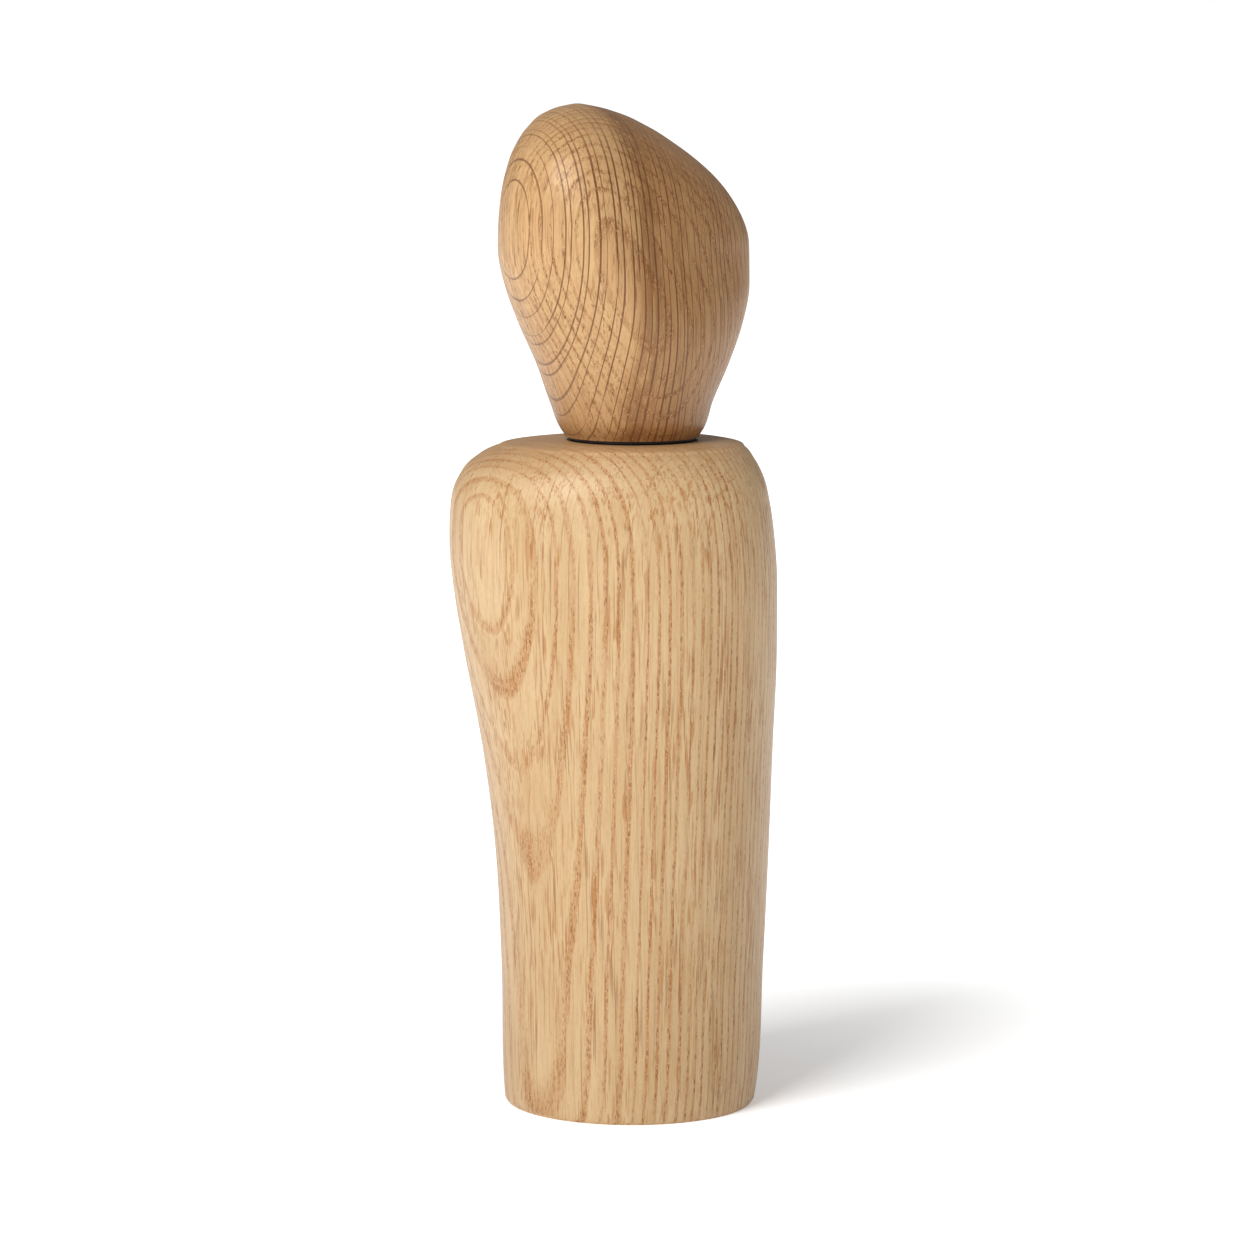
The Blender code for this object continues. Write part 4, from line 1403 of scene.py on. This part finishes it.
@dataclass
class DriveTrain:
    """What turns with the shaft: shaft, bearing, auger, cone and their fasteners."""

    flats: float = 8.0
    socket_flats: float = 8.6
    groove_radius: float = 3.6
    clip_height: float = 45.3
    grip_height: float = 158.0
    blades: int = 3
    blade_turn: float = 130.0
    auger_core: float = 6.4
    bearing: tuple[float, float, float] = (6.9, 8.6, 0.6)  # sleeve, rim, and the rim's thickness
    rotor_core: tuple[float, float, float] = (6.0, 9.0, 14.7)  # radius, rim, and the shelf's height
    cone: tuple[float, float, float] = (6.3, 11.4, -0.25)  # bore, radius at the gap, and its slope
    slant: float = 0.012  # of the teeth, in turns to a millimetre
    screw_blind: float = 25.0  # height of the end of the screw's hole
    screw: tuple[float, float, float] = (4.0, 1.8, 3.4)  # head, shank, and the head's height
    clip: tuple[float, float, float] = (3.9, 7.0, 140.0)  # radii, half width in degrees
    washers: tuple[tuple[float, float], ...] = ((7.2, 9.6), (2.4, 7.0))  # upper and lower, bore and rim
    teeth: int = 12
    tooth_depth: float = 0.8

    def _shaft(self) -> Piece:
        """The hexagonal bar with a groove for each spring ring.

        Returns:
            The shaft.
        """
        low, high = span("drive_shaft")
        bar, tip = hexagon(self.flats), hexagon(self.flats - 2.0)
        blind = self.screw_blind
        profile: list[tuple[Radius, float]] = [(2.2, blind), (2.2, low + 0.3), (2.5, low), (bar, low)]
        for middle in (self.clip_height, self.grip_height):
            profile += [(bar, middle - 0.7), (self.groove_radius, middle - 0.7)]
            profile += [(self.groove_radius, middle + 0.7), (bar, middle + 0.7)]
        profile += [(bar, high - 1.0), (tip, high), (0.0, high), (0.0, blind)]
        return turned_piece("hex_shaft", profile, 96)

    def _bearing(self) -> Piece:
        """The round bush with a hexagonal bore.

        Returns:
            The bush.
        """
        low, top = span("shaft_bush")
        bore = hexagon(self.socket_flats)
        sleeve, rim, thick = self.bearing
        profile = ((bore, low), (sleeve, low), (sleeve, top - thick))
        profile += ((rim, top - thick), (rim, top), (bore, top))
        return turned_piece("shaft_bearing", profile, 96)

    def _auger(self) -> Piece:
        """The feed screw.

        Returns:
            The auger.
        """
        low, high = span("feed_auger")
        bore, core = hexagon(self.socket_flats), self.auger_core
        auger = turned_piece("auger_screw", ((bore, low), (core, low), (core, high), (bore, high)), 96)
        maker = MeshMaker()
        for blade in range(self.blades):
            sections = []
            for t in np.linspace(0.0, 1.0, 41):
                angle = math.radians(360.0 / self.blades * blade - self.blade_turn * t)
                middle = low + 1.0 + (high - low - 2.0) * t
                tip = 10.0 - 1.4 * t
                corners = ((core - 0.7, -0.8), (tip - 0.2, -0.58), (tip, -0.38))
                corners += ((tip, 0.38), (tip - 0.2, 0.58), (core - 0.7, 0.8))
                sections.append(upright_section(angle, [(r, middle + rise) for r, rise in corners]))
            maker.sweep(sections)
        combine(auger, maker.build("auger_blades"), "UNION")
        return auger

    def _core(self) -> Piece:
        """The plastic core of the rotor.

        Returns:
            The core.
        """
        low, top = span("rotor_hub")
        bore = hexagon(self.socket_flats)
        core, rim, shelf = self.rotor_core
        profile = ((bore, low), (rim - 0.3, low), (rim, low + 0.3), (rim, shelf))
        profile += ((core, shelf), (core, top), (bore, top))
        return turned_piece("rotor_core", profile, 96)

    def _cone(self) -> Piece:
        """The toothed ceramic cone.

        Returns:
            The cone.
        """
        low, high = span("grinding_cone")
        bore, radius, slope = self.cone
        surface = toothed(radius, slope, BURR_GAP, -self.tooth_depth, self.teeth, self.slant)
        profile: list[tuple[Radius, float]] = [(bore, low)]
        profile += [(surface, height) for height in np.linspace(low, high, 29)]
        profile.append((bore, high))
        return turned_piece("ceramic_cone", profile, 288)

    def _screw(self) -> Piece:
        """The socket-headed screw.

        Returns:
            The screw.
        """
        low, top = span("rotor_screw")
        head, shank, thick = self.screw
        under = low + thick
        socket = hexagon(3.0)
        profile: list[tuple[Radius, float]] = [(0.0, low + 2.0), (socket, low + 2.0), (socket, low)]
        profile += [(head - 0.5, low), (head - 0.15, low + 0.15), (head, low + 0.5)]
        profile += [(head, under), (shank, under)]
        for height in np.arange(under + 1.0, top - 0.8, 0.5):
            profile += [(shank, height), (shank - 0.2, height + 0.25)]
        profile += [(shank - 0.5, top), (0.0, top)]
        return turned_piece("socket_screw", profile, 96)

    def _washer(self, name: str, node: str, bore: float, rim: float) -> Piece:
        """A flat washer.

        Args:
            name: Its name.
            node: The node that it stands for.
            bore: Its inner radius.
            rim: Its outer radius.

        Returns:
            The washer.
        """
        low, high = span(node)
        profile = ((bore, low), (rim, low), (rim, high), (bore, high))
        return turned_piece(name, softened(profile, 0.12), 96)

    def build(self, finishes: Finishes) -> None:
        """Makes and dresses the turning parts.

        Args:
            finishes: The mill's finishes.
        """
        low, high = span("shaft_clip")
        inner, outer, half = self.clip
        clip = sector_piece("shaft_snap_clip", [(inner, outer, 90.0, half, low, high)])
        ease_edges(clip, 0.12)
        upper = self._washer("steel_thrust_washer", "thrust_washer", *self.washers[0])
        lower = self._washer("rotor_washer", "lower_washer", *self.washers[1])
        pieces = (
            (self._shaft(), Slot.ALUMINIUM, "drive_shaft"),
            (self._bearing(), Slot.IVORY, "shaft_bush"),
            (clip, Slot.STEEL, "shaft_clip"),
            (upper, Slot.STEEL, "thrust_washer"),
            (self._auger(), Slot.IVORY, "feed_auger"),
            (self._core(), Slot.IVORY, "rotor_hub"),
            (self._cone(), Slot.CERAMIC, "grinding_cone"),
            (lower, Slot.STEEL, "lower_washer"),
            (self._screw(), Slot.STEEL, "rotor_screw"),
        )
        for piece, slot, node in pieces:
            finishes.dress(piece, Body.DRIVE, slot, node)


@dataclass
class HeadSocket:
    """The plastic socket in the head and the spring ring that grips the shaft."""

    flats: float = 8.6
    spigot: tuple[float, float] = (9.0, 10.4)  # inner and outer radius
    flange_radius: float = 13.3
    flange_low: float = 140.2
    flange_high: float = 140.7
    stem_radius: float = 9.3
    barbs: tuple[float, ...] = (148.0, 155.0, 162.0)
    funnel: tuple[float, float] = (142.0, 145.0)
    grip_height: float = 158.0
    grip_groove: tuple[float, float] = (6.3, 1.0)  # radius, and half its height
    grip_wire: tuple[float, float] = (5.45, 0.9)  # radius of the ring, and the wire's diameter

    def build(self, finishes: Finishes) -> None:
        """Makes and dresses the socket and its ring.

        Args:
            finishes: The mill's finishes.
        """
        low, top = span("head_insert")
        bore = hexagon(self.flats)
        inner, outer = self.spigot
        wide, narrow = self.funnel
        flange, stem = self.flange_radius, self.stem_radius
        groove, half = self.grip_groove
        above, below = self.grip_height + half, self.grip_height - half
        profile: list[tuple[Radius, float]] = [(inner, wide), (inner, low), (outer - 0.5, low)]
        profile += [(outer, low + 1.0), (outer, self.flange_low), (flange, self.flange_low)]
        profile += [(flange, self.flange_high), (stem, self.flange_high)]
        for foot in self.barbs:
            profile += [(stem, foot), (stem + 0.4, foot + 0.3), (stem, foot + 3.0)]
        profile += [(stem, top), (bore, top), (bore, above), (groove, above), (groove, below)]
        profile += [(bore, below), (bore, narrow)]
        socket = turned_piece("head_socket", softened(profile, 0.08), 144)
        finishes.dress(socket, Body.HEAD, Slot.BLACK, "head_insert")
        radius, thick = self.grip_wire
        sections = wire_sections(radius, 110.0, 430.0, self.grip_height, self.grip_height, thick)
        finishes.dress(wire_piece("head_grip_wire", sections), Body.HEAD, Slot.STEEL, "grip_ring")


@dataclass
class GrindSetting:
    """The ring that sets the grind, and the stator that it lifts or lowers."""

    scallops: int = 12
    teeth: int = 12
    rim: float = 15.3
    mouth: float = 12.6
    scallop_depth: float = 0.9
    collar_top: float = 5.1
    collar: tuple[float, float] = (16.7, 8.0)  # radius, and where its click notches start
    notch_depth: float = 0.4
    thread: tuple[float, float] = (13.9, 3.5)  # radius inside the ring, and where it starts
    cup: tuple[float, float, float] = (12.2, 13.6, 15.1)  # bore, wall, and the step's height
    skirt: tuple[float, float, float] = (14.5, 15.5, 16.3)  # radii, and its floor's height
    key: tuple[float, float, float, float] = (17.6, 4.6, 17.0, 26.0)  # radius, half width, both heights
    ceramic: tuple[float, float, float] = (13.6, 14.2, 13.2)  # radii of the foot, the wall and the top's edge
    gap: tuple[float, float] = (12.0, -0.25)  # the teeth's radius at the gap, and its slope
    slant: float = -0.012  # of the teeth, in turns to a millimetre
    key_angles: tuple[float, ...] = (30.0, 150.0, 270.0)
    tooth_depth: float = 0.8

    def _finger_ring(self) -> Piece:
        """The adjusting ring with its scalloped grip.

        Returns:
            The ring.
        """
        low, top = span("adjusting_ring")
        profile: list[tuple[Radius, float]] = [(self.mouth, low + 0.3), (self.mouth + 0.3, low)]
        for inset, rise in ((0.6, 0.0), (0.3, 0.1), (0.1, 0.3), (0.0, 0.6)):
            profile.append((scalloped(self.rim - inset, self.scallop_depth, self.scallops), low + rise))
        collar, notch_low = self.collar
        thread, thread_low = self.thread
        notched = scalloped(collar, self.notch_depth, self.scallops)
        profile.append((scalloped(self.rim, self.scallop_depth, self.scallops), self.collar_top))
        profile += [(collar, self.collar_top), (collar, notch_low), (notched, notch_low), (notched, top)]
        profile += [(thread, top), (thread, thread_low), (self.mouth, thread_low)]
        return turned_piece("finger_ring", profile, 288)

    def _cup(self) -> Piece:
        """The stator's cup with its skirt and keys.

        Returns:
            The cup.
        """
        low, top = span("stator_carrier")
        bore, wall, step = self.cup
        inner, outer, floor = self.skirt
        profile = ((bore, low), (wall, low), (wall, step), (outer, step), (outer, top))
        profile += ((inner, top), (inner, floor), (bore + 0.2, floor), (bore, step))
        cup = turned_piece("stator_cup", softened(profile, 0.2), 144)
        key_r, half, key_low, key_high = self.key
        keys = [(outer - 0.4, key_r, angle, half, key_low, key_high) for angle in self.key_angles]
        combine(cup, sector_piece("cup_keys", keys), "UNION")
        return cup

    def _ring(self) -> Piece:
        """The toothed ceramic ring.

        Returns:
            The ring.
        """
        low, high = span("grinding_ring")
        radius, slope = self.gap
        foot, wall, edge = self.ceramic
        surface = toothed(radius, slope, BURR_GAP, self.tooth_depth, self.teeth, self.slant)
        profile: list[tuple[Radius, float]] = [(wall, low + 0.6), (wall, high), (edge, high)]
        profile += [(surface, height) for height in np.linspace(high, low, 24)]
        profile.append((foot, low))
        return turned_piece("ceramic_ring", profile, 288)

    def build(self, finishes: Finishes) -> None:
        """Makes and dresses the grind setting.

        Args:
            finishes: The mill's finishes.
        """
        finishes.dress(self._finger_ring(), Body.ADJUSTER, Slot.BLACK, "adjusting_ring")
        finishes.dress(self._cup(), Body.STATOR, Slot.GREY, "stator_carrier")
        finishes.dress(self._ring(), Body.STATOR, Slot.CERAMIC, "grinding_ring")


# ------------------------------------------------------------------------------------ studio
@dataclass
class Studio:
    """White surroundings, a soft key light from the left front, and the camera."""

    lens: float = 143.86
    sensor: float = 36.0
    distance: float = 1.037
    camera_height: float = 0.2375
    tilt: float = 7.5  # degrees below the horizon
    roll: float = 0.217
    frame_shift: float = 6.5 / 4995  # how far left of the view's middle the axis is aimed, as a tangent
    surroundings: float = 0.29
    key_power: float = 80.0
    key_place: tuple[float, float, float] = (-1.25, -1.8, 1.87)
    key_size: float = 1.3
    key_aim: float = 0.1  # height on the axis that it faces, in metres
    floor_reach: float = 20.0

    def _camera(self) -> None:
        """Places the camera."""
        data = bpy.data.cameras.new("camera")
        data.lens = self.lens
        data.sensor_width = self.sensor
        camera = bpy.data.objects.new("camera", data)
        camera.location = (AXIS.x, -self.distance, self.camera_height)
        level = Quaternion((1.0, 0.0, 0.0), math.pi / 2 - math.radians(self.tilt))
        yaw = Quaternion((0.0, 0.0, 1.0), math.atan(self.frame_shift))
        camera.rotation_mode = "QUATERNION"
        camera.rotation_quaternion = yaw @ level @ Quaternion((0.0, 0.0, 1.0), math.radians(self.roll))
        bpy.context.scene.collection.objects.link(camera)
        bpy.context.scene.camera = camera

    def _key(self) -> None:
        """Places the softbox."""
        data = bpy.data.lights.new("key", "AREA")
        data.size = self.key_size
        data.energy = self.key_power
        key = bpy.data.objects.new("key", data)
        place = Vector(self.key_place)
        key.location = place
        key.rotation_mode = "QUATERNION"
        key.rotation_quaternion = (place - self.key_aim * UP).to_track_quat("Z", "Y")
        bpy.context.scene.collection.objects.link(key)

    def _surroundings(self) -> None:
        """Lights the scene evenly from all round."""
        world = bpy.data.worlds.new("studio")
        world.use_nodes = True
        tree = world.node_tree
        background = tree.nodes["Background"]
        background.inputs["Color"].default_value = (1.0, 1.0, 1.0, 1.0)
        seen = tree.nodes.new("ShaderNodeLightPath").outputs["Is Camera Ray"]
        strength = tree.nodes.new("ShaderNodeMapRange")
        strength.inputs["To Min"].default_value = self.surroundings
        strength.inputs["To Max"].default_value = 1.0
        tree.links.new(seen, strength.inputs["Value"])
        tree.links.new(strength.outputs["Result"], background.inputs["Strength"])
        bpy.context.scene.world = world
        bpy.context.scene.view_settings.view_transform = "Standard"

    def _floor(self) -> None:
        """Lays the floor."""
        mesh = bpy.data.meshes.new("floor")
        reach = self.floor_reach
        corners = ((-reach, -reach, 0), (reach, -reach, 0), (reach, reach, 0), (-reach, reach, 0))
        mesh.from_pydata(corners, [], [(0, 1, 2, 3)])
        floor = bpy.data.objects.new("floor", mesh)
        mesh.materials.append(StudioWhite().material())
        bpy.context.scene.collection.objects.link(floor)

    def build(self) -> None:
        """Sets the stage."""
        self._camera()
        self._key()
        self._surroundings()
        self._floor()


def main() -> None:
    """Builds the mill's looks."""
    logging.basicConfig(level=logging.INFO)
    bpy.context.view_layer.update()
    finishes = Finishes()
    Studio().build()
    CarvedBody().build(finishes)
    CarvedHead().build(finishes)
    StandingParts().build(finishes)
    DriveTrain().build(finishes)
    HeadSocket().build(finishes)
    GrindSetting().build(finishes)


if __name__ == "__main__":
    main()
